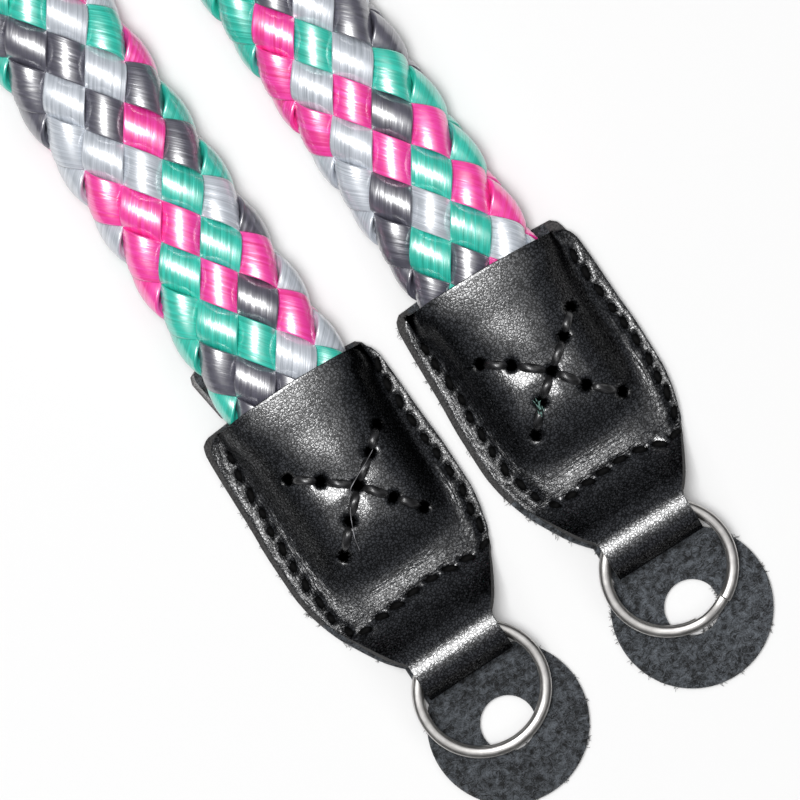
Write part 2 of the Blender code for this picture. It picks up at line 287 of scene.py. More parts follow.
def grid_mesh(name, along_steps, across_steps, place, size, amounts=()):
    """A grid of faces whose points place moves: arrays of how far along and across, 0 to 1, to points.

    The UV map "surface" holds the same two, times size, in mm. Amounts are pairs of an attribute's name
    and its value at each row and column of the grid.
    """
    work = bmesh.new()
    bmesh.ops.create_grid(work, x_segments=along_steps, y_segments=across_steps, size=0.5)
    mesh = finished(work, name)
    flat = mesh_points(mesh)[:, :2]
    along, across = ((flat - flat.min(axis=0)) / np.ptp(flat, axis=0)).T
    corners = np.empty(len(mesh.loops), dtype=np.int32)
    mesh.loops.foreach_get("vertex_index", corners)
    spots = np.column_stack((along[corners] * size[0], across[corners] * size[1]))
    mesh.uv_layers.new(name="surface").data.foreach_set("uv", spots.ravel())
    mesh.vertices.foreach_set("co", np.ascontiguousarray(place(along, across)).ravel())
    for attribute, values in amounts:
        values = values[grid_index(along, along_steps), grid_index(across, across_steps)]
        mesh.attributes.new(attribute, "FLOAT", "POINT").data.foreach_set("value", values)
    mesh.update()
    return mesh


def close_mesh(mesh):
    """Close a mesh's seams, then its open ends, and turn its faces outwards."""
    work = bmesh.new()
    work.from_mesh(mesh)
    bmesh.ops.remove_doubles(work, verts=work.verts, dist=WELD_DISTANCE)
    open_edges = [edge for edge in work.edges if edge.is_boundary]
    if open_edges:
        bmesh.ops.holes_fill(work, edges=open_edges, sides=0)
    bmesh.ops.recalc_face_normals(work, faces=work.faces)
    work.to_mesh(mesh)
    work.free()
    return mesh


def join_meshes(name, meshes):
    """One mesh of several, which are then removed."""
    work = bmesh.new()
    for mesh in meshes:
        work.from_mesh(mesh)
        bpy.data.meshes.remove(mesh)
    return finished(work, name)


def add_piece(mesh, finishes, body="strap", replaced=()):
    """Make a mesh a visible piece that rides on a body and stands for the nodes that it replaces."""
    for finish in finishes:
        mesh.materials.append(finish)
    mesh.shade_smooth()
    piece = bpy.data.objects.new(mesh.name, mesh)
    bpy.context.scene.collection.objects.link(piece)
    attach(piece, body)
    if replaced:
        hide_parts(*replaced)
    return piece


def end_matrix(end):
    """The place of an end's own frame: the centre of its disc, with Y towards the braid."""
    turn = Matrix.Rotation(math.radians(END_TURN_DEG[end]), 4, "Z")
    return Matrix.Translation((END_X[end], BASE_Y, 0.0)) @ turn


def to_world(end, points):
    """Move an array of points from an end's own frame."""
    matrix = np.array(end_matrix(end))
    return points @ matrix[:3, :3].T + matrix[:3, 3]


def smooth_table(table, column, stations):
    """Read a column of a table in mm along a smooth curve that doesn't overshoot its rows."""
    knots, values = (np.array(table) * MM).T[[0, column]]
    spans = np.diff(knots)
    slopes = list(np.diff(values) / spans)
    pairs = zip(slopes, slopes[1:])
    inner = [2 * low * high / (low + high) if low * high > 0 else 0.0 for low, high in pairs]
    tangents = np.array(slopes[:1] + inner + slopes[-1:])
    wanted = np.clip(stations, knots[0], knots[-1])
    piece = np.clip(np.searchsorted(knots, wanted, side="right") - 1, 0, len(spans) - 1)
    part = (wanted - knots[piece]) / spans[piece]
    rest = 1 - part
    return (
        values[piece] * (1 + 2 * part) * rest**2
        + values[piece + 1] * part**2 * (3 - 2 * part)
        + spans[piece] * part * rest * (tangents[piece] * rest - tangents[piece + 1] * part)
    )


def smooth_step(low, high, value):
    part = np.clip((value - low) / (high - low), 0.0, 1.0)
    return part * part * (3 - 2 * part)


def bell(distance, reach):
    """From 1 at no distance, softly down to nothing at about twice the reach."""
    return np.exp(-((distance / reach) ** 2))


def signed_power(value, power):
    return np.sign(value) * np.abs(value) ** power


# ---------------------------------------------------------------- braid


class Course:
    """The braid's centre line, read by the distance along it."""

    def __init__(self):
        line = []
        for first, second in zip(COURSE, COURSE[1:]):
            knots = []
            for x, y, turn, handle in ((*first[:3], first[4]), (*second[:3], -second[3])):
                knot = Vector((x, y, 0.0)) * MM
                ahead = Vector((math.sin(math.radians(turn)), math.cos(math.radians(turn)), 0.0))
                knots.append((knot, knot + ahead * handle * MM))
            points = interpolate_bezier(knots[0][0], knots[0][1], knots[1][1], knots[1][0], COURSE_STEPS)
            line.extend(points[1:] if line else points)
        spots = np.array([(point.x, point.y + BASE_Y) for point in line])
        steps = np.diff(spots, axis=0)
        self.along = np.concatenate(((0.0,), np.cumsum(np.hypot(steps[:, 0], steps[:, 1]))))
        self.length = self.along[-1]
        self.spots = spots
        self.middles = (self.along[1:] + self.along[:-1]) / 2
        self.headings = np.unwrap(np.arctan2(steps[:, 0], steps[:, 1]))

    def read(self, along):
        """The place, and the direction to the right of the way, at distances along the line."""
        x = np.interp(along, self.along, self.spots[:, 0])
        y = np.interp(along, self.along, self.spots[:, 1])
        heading = np.interp(along, self.middles, self.headings)
        return x, y, np.cos(heading), -np.sin(heading)


TAB_PRESS = 0.74
TAB_PRESS_STATIONS = (44.0 * MM, 56.0 * MM)
BRAID_WIDTH = 19.7 * MM
OVAL_STEPS = 1440
FULL_HEIGHT = 8.6 * MM
YARN_SCALES = (0.2, 1.0)
LEAST_HALF_HEIGHT = 0.4 * MM
FLOOR_CLEARANCE = 0.02 * MM


class BraidForm:
    """The middle surface of the braid: a squared oval, smaller inside the tabs, on the braid's course."""

    def __init__(self):
        self.course = Course()
        angles = np.linspace(0.0, 2 * math.pi, OVAL_STEPS + 1)
        power = 2.0 / SQUARENESS
        side = signed_power(np.sin(angles), power)
        rise = signed_power(np.cos(angles), power)
        steps = np.hypot(np.diff(side * MID_HALF_WIDTH), np.diff(rise * MID_HALF_HEIGHT))
        self.round = np.concatenate(((0.0,), np.cumsum(steps)))
        self.girth = self.round[-1]
        self.side = side
        self.rise = rise
        self.lean = math.atan2(self.girth, LEAD)

    def station(self, along):
        return BRAID_END + np.minimum(along, self.course.length - along)

    def scale(self, along):
        """How thick the yarns are, from 1 along the braid to less inside the tabs."""
        return np.clip(smooth_table(BRAID_SECTIONS, 2, self.station(along)) / FULL_HEIGHT, *YARN_SCALES)

    def point(self, along, turn, out):
        """Points over the middle surface: distance along, turn and height out of it."""
        x, y, right_x, right_y = self.course.read(along)
        station = self.station(along)
        scale = self.scale(along)
        margin = (BRAID_WIDTH / 2 - MID_HALF_WIDTH) * scale
        pressed = TAB_PRESS + (1 - TAB_PRESS) * smooth_step(*TAB_PRESS_STATIONS, station)
        half_width = smooth_table(BRAID_SECTIONS, 1, station) / 2 * pressed - margin
        height = smooth_table(BRAID_SECTIONS, 2, station) * pressed
        half_height = np.maximum(height / 2 - margin, LEAST_HALF_HEIGHT)
        middle = smooth_table(BRAID_SECTIONS, 3, station) + height / 2
        spot = np.mod(turn / YARNS_EACH_WAY, 1.0) * self.girth
        side = np.interp(spot, self.round, self.side)
        rise = np.interp(spot, self.round, self.rise)
        normal_side = signed_power(side, SQUARENESS - 1) / half_width
        normal_rise = signed_power(rise, SQUARENESS - 1) / half_height
        size = np.hypot(normal_side, normal_rise)
        sideways = side * half_width + normal_side / size * out
        upwards = rise * half_height + normal_rise / size * out
        height = np.maximum(middle + upwards, FLOOR_CLEARANCE)
        return np.column_stack((x + right_x * sideways, y + right_y * sideways, height))

    def phase(self, along):
        """How far the yarns have gone round and the whole braid has turned on itself, in sixths."""
        hidden = smooth_step(HIDDEN_START, self.course.length - HIDDEN_START, along)
        gone = YARNS_EACH_WAY * along / LEAD + HIDDEN_EXTRA * hidden
        return gone, HIDDEN_DRIFT * hidden


YARN_STEPS = 1900
YARN_SIDES = 14
CORE_STEPS = 600
CORE_SIDES = 24
CORE_DEPTH = 0.9 * MM
YARN_TOP_POINTS = 10
YARN_EDGE_DROP = 0.28
YARN_EDGE_BEND = 3.0
YARN_UNDERSIDE = ((-0.99, -0.1), (-0.9, -0.8), (0.9, -0.8), (0.99, -0.1))
FALLING_WIDTH = 0.97
YARN_WANDER = 0.12 * MM
YARN_WAVES = 3
YARN_WAVE_RATES = (0.4, 1.6)
YARN_WAVE_STARTS = (0.0, 6.3)
YARN_WAVE_UNIT = 10 * MM
YARN_ROUND = 2.2
FLOAT_STEP = 0.22
FLOAT_STEEPNESS = 5.0


def yarn_section():
    """A yarn's section in halves of its width and thickness: a flat arch on upright sides, closed."""
    sides = np.cos(np.pi * np.arange(YARN_TOP_POINTS) / (YARN_TOP_POINTS - 1))
    arch = 1 - YARN_EDGE_DROP * np.abs(sides) ** YARN_EDGE_BEND
    return np.vstack((np.column_stack((sides, arch)), YARN_UNDERSIDE, (sides[0], arch[0])))


def yarn_mesh(form, index, rising, settings):
    """One yarn, which goes over and under the yarns that lean the other way."""
    chance = random.Random(100 * index + rising)
    waves = []
    for _ in range(YARN_WAVES):
        waves.append((chance.uniform(*YARN_WAVE_RATES), chance.uniform(*YARN_WAVE_STARTS)))
    way = 1.0 if rising else -1.0
    offset = RISING_OFFSET if rising else FALLING_OFFSET
    section = yarn_section()

    def place(part, round_part):
        centre = part * form.course.length
        gone, drift = form.phase(centre)
        corner = np.rint(round_part * YARN_SIDES).astype(int)
        across = section[corner, 0] * settings.yarn_width / 2 * (1.0 if rising else FALLING_WIDTH)
        wander = sum(np.sin(centre / YARN_WAVE_UNIT * rate + start) for rate, start in waves)
        across += wander * YARN_WANDER / YARN_WAVES
        beside = across * math.cos(form.lean) * YARNS_EACH_WAY / form.girth
        turn = index + offset + drift + way * gone + beside
        along = np.clip(centre - way * across * math.sin(form.lean), 0.0, form.course.length)
        gone, drift = form.phase(along)
        crossed = turn - (FALLING_OFFSET if rising else RISING_OFFSET) - drift + way * gone
        wave = -way * np.cos(math.pi * (index + crossed))
        over = wave * (1 - FLOAT_STEP) + np.tanh(wave * FLOAT_STEEPNESS) * FLOAT_STEP
        up = section[corner, 1] * settings.yarn_thickness / 2
        height = (settings.yarn_rise * over + up) * form.scale(centre)
        return form.point(along, turn, height)

    length = form.course.length / math.cos(form.lean) / MM
    size = (length, settings.yarn_width * YARN_ROUND / MM)
    name = f"yarn_{'rising' if rising else 'falling'}_{index}"
    return close_mesh(grid_mesh(name, YARN_STEPS, YARN_SIDES, place, size))


def core_mesh(form):
    def place(part, round_part):
        along = part * form.course.length
        return form.point(along, round_part * YARNS_EACH_WAY, -CORE_DEPTH * form.scale(along))

    size = (form.course.length / MM, form.girth / MM)
    return close_mesh(grid_mesh("braid_core", CORE_STEPS, CORE_SIDES, place, size))


# ---------------------------------------------------------------- leather


FRONT_ROW = 0.4 * MM
FRONT_COLUMNS = 84
FOLD_ROWS = 30
DOME_ANGLES_DEG = (90.0, 68.0, 48.0, 31.0, 16.0, 4.0)
DOME_FOOT = 1.0 * MM
DOME_FOOT_BEND = (0.25, 0.22)
FOOT_SMOOTHING = 80
FOOT_WINDOW = (13.3 * MM, 9.5 * MM)
FOOT_START = (26 * MM, 22 * MM)
MOUTH_SMOOTHING = 5
MOUTH_FIRM = (50 * MM, 56 * MM)
MOUTH_REACH = 12 * MM
CORNER_CUTS = 3
SEAM_SEED = 7
SEAM_STITCH = 1.4 * MM
STITCH_JITTER = 0.24 * MM
STITCH_SLANT = 0.25
SEAM_GROOVE = (0.12 * MM, 0.8 * MM)
SEAM_DENT = (0.5 * MM, 0.6 * MM)
# Painted shade in the seam's holes: from none to full black as the dent deepens.
SEAM_HOLE_SHADE = (0.42, 0.95)
CROSS_GROOVE = (0.42 * MM, 2.3 * MM)
CROSS_DENT = (1.5 * MM, 0.95 * MM)
# Painted shade in the crossed stitches' holes: none past the first distance, full black within the second.
CROSS_HOLE_SHADE = (1.3 * MM, 0.85 * MM)
EDGE_ROUNDING = 0.22 * MM
EDGE_ANGLE_DEG = 50
RIM_FIRM = (0.2 * MM, 1.1 * MM)
RIM_DROP = 0.4 * MM
RIM_REACH = 2.2 * MM
RIM_START = (18 * MM, 24 * MM)
CREASE_REACH = 3.3 * MM
# Painted shade on the front leather is this much lighter where it is creased.
CREASE_LIGHT = 0.75
FLANGE_REACH = (2.1 * MM, 1.3 * MM)
FLANGE_CREASE = 1.3 * MM
# Painted shade on the flange outside the seam.
FLANGE_SHADE = 0.3
FAR_SIDE = (7 * MM, 11 * MM)
FAR_START = (31 * MM, 38 * MM)
FAR_SMOOTH = 0.7
# Painted shade on the side of the dome towards +X.
FAR_SHADE = 0.15
NECK_START = (23.4 * MM, 22.4 * MM)
# Painted shade on the steep flanks: none where the normal points up past the first value, full past the
# second.
FLANK_UPWARDS = (0.9, 0.66)
FLANK_SHADE = 0.82


def smooth_path(points, steps=12):
    """A smooth curve through points in mm, as an array in metres."""
    knots = np.array(points) * MM
    knots = np.vstack((2 * knots[0] - knots[1], knots, 2 * knots[-1] - knots[-2]))
    part = np.linspace(0.0, 1.0, steps, endpoint=False)[:, None]
    curve = []
    for first, second, third, fourth in zip(knots, knots[1:], knots[2:], knots[3:]):
        curve.append(
            0.5 * (
                2 * second
                + (third - first) * part
                + (2 * first - 5 * second + 4 * third - fourth) * part**2
                + (3 * second - first - 3 * third + fourth) * part**3
            )
        )
    return np.vstack(curve + [knots[-2:-1]])


def path_lengths(path):
    steps = np.linalg.norm(np.diff(path, axis=0), axis=1)
    return np.concatenate(((0.0,), np.cumsum(steps)))


def path_at(path, wanted):
    lengths = path_lengths(path)
    return np.column_stack([np.interp(wanted, lengths, path[:, axis]) for axis in range(path.shape[1])])


def distance_to(spots, path):
    """How far flat points lie from a flat path."""
    nearest = np.full(len(spots), 1.0)
    for first, second in zip(path, path[1:]):
        span = second - first
        part = np.clip((spots - first) @ span / max(span @ span, 1e-12), 0.0, 1.0)
        nearest = np.minimum(nearest, np.linalg.norm(spots - first - part[:, None] * span, axis=1))
    return nearest


def seam_marks(end, pitch):
    """The two ends of each stitch of a tab's seam."""
    path = smooth_path(SEAM[end])
    length = path_lengths(path)[-1]
    count = round(length / pitch)
    middles = (np.arange(count) + 0.5) * length / count
    chance = random.Random(SEAM_SEED)
    jitter = np.array([[chance.uniform(-1.0, 1.0) for _ in range(6)] for _ in range(count)]) * STITCH_JITTER
    starts = path_at(path, middles - SEAM_STITCH / 2 + jitter[:, 4]) + jitter[:, :2]
    stops = path_at(path, middles + SEAM_STITCH / 2 + jitter[:, 5]) + jitter[:, 2:4]
    span = (stops - starts) * STITCH_SLANT / 2
    aside = np.column_stack((span[:, 1], -span[:, 0]))
    return np.stack((starts - aside, stops + aside), axis=1)


def stitch_distance(end, pitch, spots):
    """How far flat points lie from the nearest stitch of a tab's seam."""
    return np.minimum.reduce([distance_to(spots, mark) for mark in seam_marks(end, pitch)])


def front_rows():
    """The course of the front leather's inside.

    Its columns are the station, the height at the edges and at the centre, the half width of the dome and
    the station that gives the outline.
    """
    stations = np.linspace(TAB_END, TAB_START, round((TAB_END - TAB_START) / FRONT_ROW) + 1)
    sections = [smooth_table(FRONT_SECTIONS, column, stations) for column in (1, 2, 3)]
    inner = FOLD_RADIUS - LEATHER
    angles = math.pi / 2 + math.pi * np.arange(FOLD_ROWS + 1) / FOLD_ROWS
    tail = np.linspace(FOLD_CENTRE, TAIL_END, round((TAIL_END - FOLD_CENTRE) / FRONT_ROW))[1:]
    bent = np.concatenate((FOLD_CENTRE + inner * np.cos(angles), tail))
    tucked = np.full_like(tail, HINGE_HEIGHT - inner)
    height = np.concatenate((HINGE_HEIGHT + inner * np.sin(angles), tucked))
    dome = np.full_like(bent, FRONT_SECTIONS[0][3] * MM)
    folded = np.column_stack((bent, height, height, dome, np.full_like(bent, TAB_START)))
    return np.vstack((np.column_stack((stations, *sections, stations)), folded))


def half_profile(half_width, edge, crown, dome):
    """Half of a cross-section of the front leather's inside, from its centre to its edge."""
    rise = crown - edge
    power = 2.0 / SQUARENESS
    points = []
    for degrees in DOME_ANGLES_DEG:
        angle = math.radians(degrees)
        height = edge + rise * (0.5 + 0.5 * math.sin(angle) ** power)
        points.append((math.cos(angle) ** power * dome, height))
    foot = min(DOME_FOOT, (half_width - dome) / 2)
    points.append((dome + foot * DOME_FOOT_BEND[0], edge + rise * DOME_FOOT_BEND[1]))
    points.append((dome + foot, edge))
    points.append((half_width, edge))
    return points


def rounded(line, times):
    """Cut a line's corners a few times, with its two ends kept."""
    for _ in range(times):
        near = line[:-1] * 0.75 + line[1:] * 0.25
        far = line[:-1] * 0.25 + line[1:] * 0.75
        line = np.vstack((line[:1], np.stack((near, far), axis=1).reshape(-1, line.shape[1]), line[-1:]))
    return line


def front_inside(end, rows):
    """The inside of the front leather as rows of points in the end's frame."""
    inside = np.empty((len(rows), FRONT_COLUMNS + 1, 3))
    for index, (station, edge, crown, dome, outline) in enumerate(rows):
        half_width = float(smooth_table(TAB_OUTLINE, 1, np.array([outline]))[0])
        drift = DOME_SHIFT[end] * (outline - TAB_START) / (TAB_END - TAB_START)
        left = [(-side, height) for side, height in half_profile(half_width + drift, edge, crown, dome)]
        right = half_profile(half_width - drift, edge, crown, dome)
        line = rounded(np.array(left[:0:-1] + right), CORNER_CUTS)
        spots = path_at(line, np.linspace(0.0, path_lengths(line)[-1], FRONT_COLUMNS + 1))
        inside[index, :, 0] = FRONT_SHIFT[end] + drift + spots[:, 0]
        inside[index, :, 1] = station
        inside[index, :, 2] = spots[:, 1]
    mouth = np.interp(inside[:, :, 0] / MM, *np.array(MOUTH[end]).T) * MM - TAB_END
    inside[:, :, 1] += mouth * smooth_step(MOUTH_REACH, 0.0, TAB_END - rows[:, 4:])
    return inside


def front_surface(end, pitch):
    """The outside of the front leather in the end's frame, how creased each point is, and its painted shade.
    """
    rows = front_rows()
    station = rows[:, 4:]
    inside = front_inside(end, rows)
    outside = inside + surface_normals(inside) * LEATHER
    firm = smooth_step(*MOUTH_FIRM, station)
    for count in range(FOOT_SMOOTHING):
        flatter = (outside[:, :-2] + outside[:, 2:]) / 4 - outside[:, 1:-1] / 2
        outside[:, 1:-1] += flatter * (1 - firm[:, :, None] if count >= MOUTH_SMOOTHING else 1.0)
    side = outside[:, :, 0] - FRONT_SHIFT[end]
    base = rows[:, 1:2] + LEATHER
    kept = np.maximum(firm, smooth_step(*FOOT_START, station))
    kept = np.maximum(kept, smooth_step(*FOOT_WINDOW, np.abs(side)))
    outside[:, :, 2] = base + (outside[:, :, 2] - base) * kept

    top = np.arange(len(rows))[:, None] < round((TAB_END - TAB_START) / FRONT_ROW) + FOLD_ROWS // 2
    spots = outside[:, :, :2].reshape(-1, 2)
    seam, seam_hole_shade = seam_relief(end, pitch, spots)
    cross, cross_hole_shade = cross_relief(end, spots)
    # Painted shade in the holes of the seam and of the crosses.
    holes = np.maximum(seam_hole_shade, cross_hole_shade).reshape(side.shape) * top
    rims = outside[:, (0, -1), :2]
    inward = np.linalg.norm(outside[:, :, None, :2] - rims[:, None], axis=3).min(axis=2)
    past_fold = smooth_step(*RIM_START, station)
    # Painted shade on the steep flanks, worked out before the seam and crosses dent the surface.
    steep = smooth_step(*FLANK_UPWARDS, surface_normals(outside)[:, :, 2]) * FLANK_SHADE
    outside[:, :, 2] -= (seam + cross).reshape(side.shape) * top * smooth_step(*RIM_FIRM, inward)
    outside[:, :, 2] -= RIM_DROP * smooth_step(RIM_REACH, 0.0, inward) * past_fold

    foot = distance_to(spots, smooth_path(SEAM[end])).reshape(side.shape)
    flange = smooth_step(*FLANGE_REACH, inward) * past_fold
    neck = smooth_step(*NECK_START, station) * (1 - flange)
    far = smooth_step(*FAR_SIDE, side) * smooth_step(*FAR_START, station)
    creased = bell(foot, CREASE_REACH) * (1 - flange) * (1 - neck) + bell(foot, FLANGE_CREASE) * flange
    creased *= top * (1 - FAR_SMOOTH * far)
    # Painted shade: steep flanks, less where creased, plus the flange and the far side.
    shade = steep * (1 - CREASE_LIGHT * creased) + FLANGE_SHADE * flange + FAR_SHADE * far
    return outside, creased, np.clip(np.maximum(holes, shade), 0.0, 1.0)


def surface_normals(grid):
    """The directions out of a grid of points, which run upwards on its first rows."""
    along = np.gradient(grid, axis=0)
    across = np.gradient(grid, axis=1)
    normal = np.cross(across, along)
    normal /= np.linalg.norm(normal, axis=2, keepdims=True)
    return normal if normal[1, FRONT_COLUMNS // 2, 2] > 0 else -normal


def seam_relief(end, pitch, spots):
    """How deep the seam pulls the leather in, and how much painted shade its holes get."""
    dent = bell(stitch_distance(end, pitch, spots), SEAM_DENT[1])
    groove = SEAM_GROOVE[0] * bell(distance_to(spots, smooth_path(SEAM[end])), SEAM_GROOVE[1])
    return groove + SEAM_DENT[0] * dent, smooth_step(*SEAM_HOLE_SHADE, dent)


def cross_relief(end, spots):
    """How deep the crossed stitches pull the leather in, and how much painted shade their holes get."""
    deepest = np.zeros(len(spots))
    shade = np.zeros(len(spots))
    for arm in CROSS[end]:
        holes = np.array(arm) * MM
        deepest = np.maximum(deepest, CROSS_GROOVE[0] * bell(distance_to(spots, holes), CROSS_GROOVE[1]))
        for hole in holes:
            away = np.linalg.norm(spots - hole, axis=1)
            deepest = np.maximum(deepest, CROSS_DENT[0] * bell(away, CROSS_DENT[1]))
            shade = np.maximum(shade, smooth_step(*CROSS_HOLE_SHADE, away))
    return deepest, shade


def front_mesh(end, pitch):
    """The front leather as a sheet without thickness."""
    surface, creased, holes = front_surface(end, pitch)
    rows, columns = (count - 1 for count in surface.shape[:2])

    def place(along, across):
        return to_world(end, surface[grid_index(along, rows), grid_index(across, columns)])

    size = (rows * FRONT_ROW / MM, 2 * max(row[1] for row in TAB_OUTLINE))
    # The "hole" attribute holds painted shade: the holes, the steep flanks, the flange and the far side.
    amounts = (("crease", creased), ("hole", holes))
    return grid_mesh(f"front_leather_{end}", rows, columns, place, size, amounts)


def point_outwards(mesh):
    """Turn a sheet's faces to its outside, which looks up in the middle of the dome."""
    work = bmesh.new()
    work.from_mesh(mesh)
    work.faces.ensure_lookup_table()
    highest = max(work.faces, key=lambda face: face.calc_center_median().z)
    if highest.normal.z < 0:
        bmesh.ops.reverse_faces(work, faces=work.faces)
    work.to_mesh(mesh)
    work.free()


def add_wall(piece):
    """Give a sheet of leather its thickness, inwards, with a rough inside and rounded cut edges."""
    wall = piece.modifiers.new("Wall", "SOLIDIFY")
    wall.thickness = LEATHER
    wall.offset = -1.0
    wall.material_offset = 1
    wall.material_offset_rim = 2
    rounding = piece.modifiers.new("Rounding", "BEVEL")
    rounding.width = EDGE_ROUNDING
    rounding.segments = 2
    rounding.limit_method = "ANGLE"
    rounding.angle_limit = math.radians(EDGE_ANGLE_DEG)


BACK_PITCH = 0.7 * MM
BACK_SIDES = (-16 * MM, 15 * MM)
CUT_TOLERANCE = 0.01 * MM
DISC_STEPS = 120
TONGUE_END = 66.5 * MM
TONGUE_CORNER = 1.5 * MM
TONGUE_CORNER_SPOTS = ((0.0, 1.0), (0.3, 0.3), (1.0, 0.0))
TONGUE_FOOT = 1.0 * MM
TONGUE_SIDES = {"a": (-10.3 * MM, 9.4 * MM), "b": (-10.0 * MM, 9.0 * MM)}
TONGUE_FLARE = 0.1
CURL_START = {"a": -8.0 * MM, "b": -30.0 * MM}
CURL_RADIUS = 3.8 * MM
CURL_STATIONS = (56.8 * MM, 58.0 * MM)
BACK_DENT = (0.55 * MM, 0.6 * MM)
UPRIGHT = 0.5
DYED_SIDE = 11.5 * MM
RAW_START = 57.9 * MM


def arc(radius, start, stop, steps):
    """Points round the centre of a disc."""
    turns = np.linspace(start, stop, steps + 1)
    return [(radius * math.cos(turn), radius * math.sin(turn)) for turn in turns]


def back_outline(end):
    """The outline of the back leather, anticlockwise from the disc's far end."""
    shift = BACK_SHIFT[end]
    join_width = TAB_OUTLINE[0][1] * MM
    stations = np.linspace(TAB_START, TAB_END, round((TAB_END - TAB_START) / BACK_PITCH) + 1)
    widths = smooth_table(TAB_OUTLINE, 1, stations)
    points = [(0.0, -DISC_RADIUS)]
    for part in (1, -1):
        stop = math.acos((join_width + part * shift) / DISC_RADIUS)
        side_points = arc(DISC_RADIUS, -math.pi / 2, stop, DISC_STEPS // 2)[1:]
        side_points.extend(zip(widths + part * shift, stations))
        tongue = part * TONGUE_SIDES[end][(part + 1) // 2]
        side_points += [(tongue - TONGUE_FOOT, TAB_END + GAP), (tongue, TAB_END + GAP + TONGUE_FOOT)]
        if (end, part) == ("a", -1):
            tongue += TONGUE_FLARE * (TONGUE_END - TAB_END)
        for aside, short in TONGUE_CORNER_SPOTS:
            side_points.append((tongue - aside * TONGUE_CORNER, TONGUE_END - short * TONGUE_CORNER))
        if part == 1:
            points.extend(side_points)
        else:
            points.extend((-side, station) for side, station in reversed(side_points))
    return points


def add_loop(work, points):
    corners = [work.verts.new((side, station, 0.0)) for side, station in points]
    return [work.edges.new(pair) for pair in zip(corners, corners[1:] + corners[:1])]


def back_mesh(end, pitch):
    """The back leather with the disc's hole, cut into small faces, dented by the seam and curled."""
    work = bmesh.new()
    hole = arc(HOLE_RADIUS, 0.0, 2 * math.pi, DISC_STEPS)[:-1]
    edges = add_loop(work, back_outline(end)) + add_loop(work, hole)
    bmesh.ops.triangle_fill(work, edges=edges, use_beauty=True)
    for axis, (low, high) in enumerate((BACK_SIDES, (-DISC_RADIUS, TONGUE_END))):
        direction = Vector((axis == 0, axis == 1, 0))
        for cut in range(1, round((high - low) / BACK_PITCH)):
            everything = work.verts[:] + work.edges[:] + work.faces[:]
            place = direction * (low + cut * BACK_PITCH)
            bmesh.ops.bisect_plane(
                work, geom=everything, plane_co=place, plane_no=direction, dist=CUT_TOLERANCE)
    bottom = set(work.verts)
    pushed = bmesh.ops.extrude_face_region(work, geom=work.faces[:])
    moved = [found for found in pushed["geom"] if isinstance(found, bmesh.types.BMVert)]
    bmesh.ops.translate(work, verts=moved, vec=(0.0, 0.0, LEATHER))
    bmesh.ops.recalc_face_normals(work, faces=work.faces)
    low_points = np.array([vert in bottom for vert in work.verts])
    kinds = []
    for face in work.faces:
        middle = face.calc_center_median()
        cut = abs(face.normal.z) < UPRIGHT or (abs(middle.x) > DYED_SIDE and middle.y > TAIL_END)
        kinds.append(2 if cut and middle.y > RAW_START else int(cut))
    mesh = finished(work, f"back_leather_{end}")
    spots = mesh_points(mesh)
    dent = bell(stitch_distance(end, pitch, spots[:, :2]), BACK_DENT[1])
    spots[:, 2] += low_points * BACK_DENT[0] * dent
    starts = CURL_START[end] - TONGUE_FLARE * np.maximum(0.0, spots[:, 1] - TAB_END)
    beyond = np.maximum(0.0, starts - spots[:, 0]) * smooth_step(*CURL_STATIONS, spots[:, 1])
    angle = beyond / CURL_RADIUS
    arm = CURL_RADIUS - spots[:, 2]
    spots[:, 0] = np.where(beyond > 0, spots[:, 0] + beyond - arm * np.sin(angle), spots[:, 0])
    spots[:, 2] = np.where(beyond > 0, CURL_RADIUS - arm * np.cos(angle), spots[:, 2])
    mesh.vertices.foreach_set("co", to_world(end, spots).ravel())
    mesh.polygons.foreach_set("material_index", kinds)
    return mesh


# ---------------------------------------------------------------- rings


TURN_GAP = 0.1 * MM
RAMP_DEG = 30.0
SPLIT_GAP_DEG = 3.0
RING_STEPS = 420
WIRE_SIDES = 18
WIRE_SQUARENESS = 2.05
WIRE_ROUND_MM = 4.0
HINGE_TO_CENTRE = 7.2 * MM
RING_STATION = {"a": 6.1 * MM, "b": 6.4 * MM}
RING_SHIFT = {"a": -0.4 * MM, "b": 0.1 * MM}
RING_SPLIT_DEG = {"a": 78.0, "b": -61.0}


def ring_lean(settings):
    """The angle by which a ring hangs from its fold down to the disc."""
    far_edge = HINGE_TO_CENTRE + settings.radius
    half_stack = settings.wire_height + TURN_GAP / 2
    return math.asin(FOLD_RADIUS / math.hypot(far_edge, half_stack)) - math.atan2(half_stack, far_edge)


def ring_mesh(end, settings):
    """Two turns of flattened wire with a ramp between them, leaning on the disc."""
    mean_radius = settings.radius - settings.wire_width / 2
    level = (settings.wire_height + TURN_GAP) / 2
    total_deg = 720.0 - RAMP_DEG - SPLIT_GAP_DEG
    lean = ring_lean(settings)
    power = 2.0 / WIRE_SQUARENESS

    def place(part, round_part):
        swept = part * total_deg
        angle = np.radians(RING_SPLIT_DEG[end] + swept)
        turn = 2 * math.pi * round_part
        radius = mean_radius + signed_power(np.cos(turn), power) * settings.wire_width / 2
        height = level * (1.0 - 2.0 * smooth_step(360.0 - RAMP_DEG, 360.0, swept))
        height += signed_power(np.sin(turn), power) * settings.wire_height / 2
        ahead = np.sin(angle) * radius - HINGE_TO_CENTRE
        return to_world(end, np.column_stack((
            np.cos(angle) * radius + RING_SHIFT[end],
            ahead * math.cos(lean) - height * math.sin(lean) + RING_STATION[end] + HINGE_TO_CENTRE,
            ahead * math.sin(lean) + height * math.cos(lean) + HINGE_HEIGHT,
        )))

    size = (math.radians(total_deg) * mean_radius / MM, WIRE_ROUND_MM)
    return close_mesh(grid_mesh(f"steel_ring_{end}", RING_STEPS, WIRE_SIDES, place, size))


# ---------------------------------------------------------------- threads


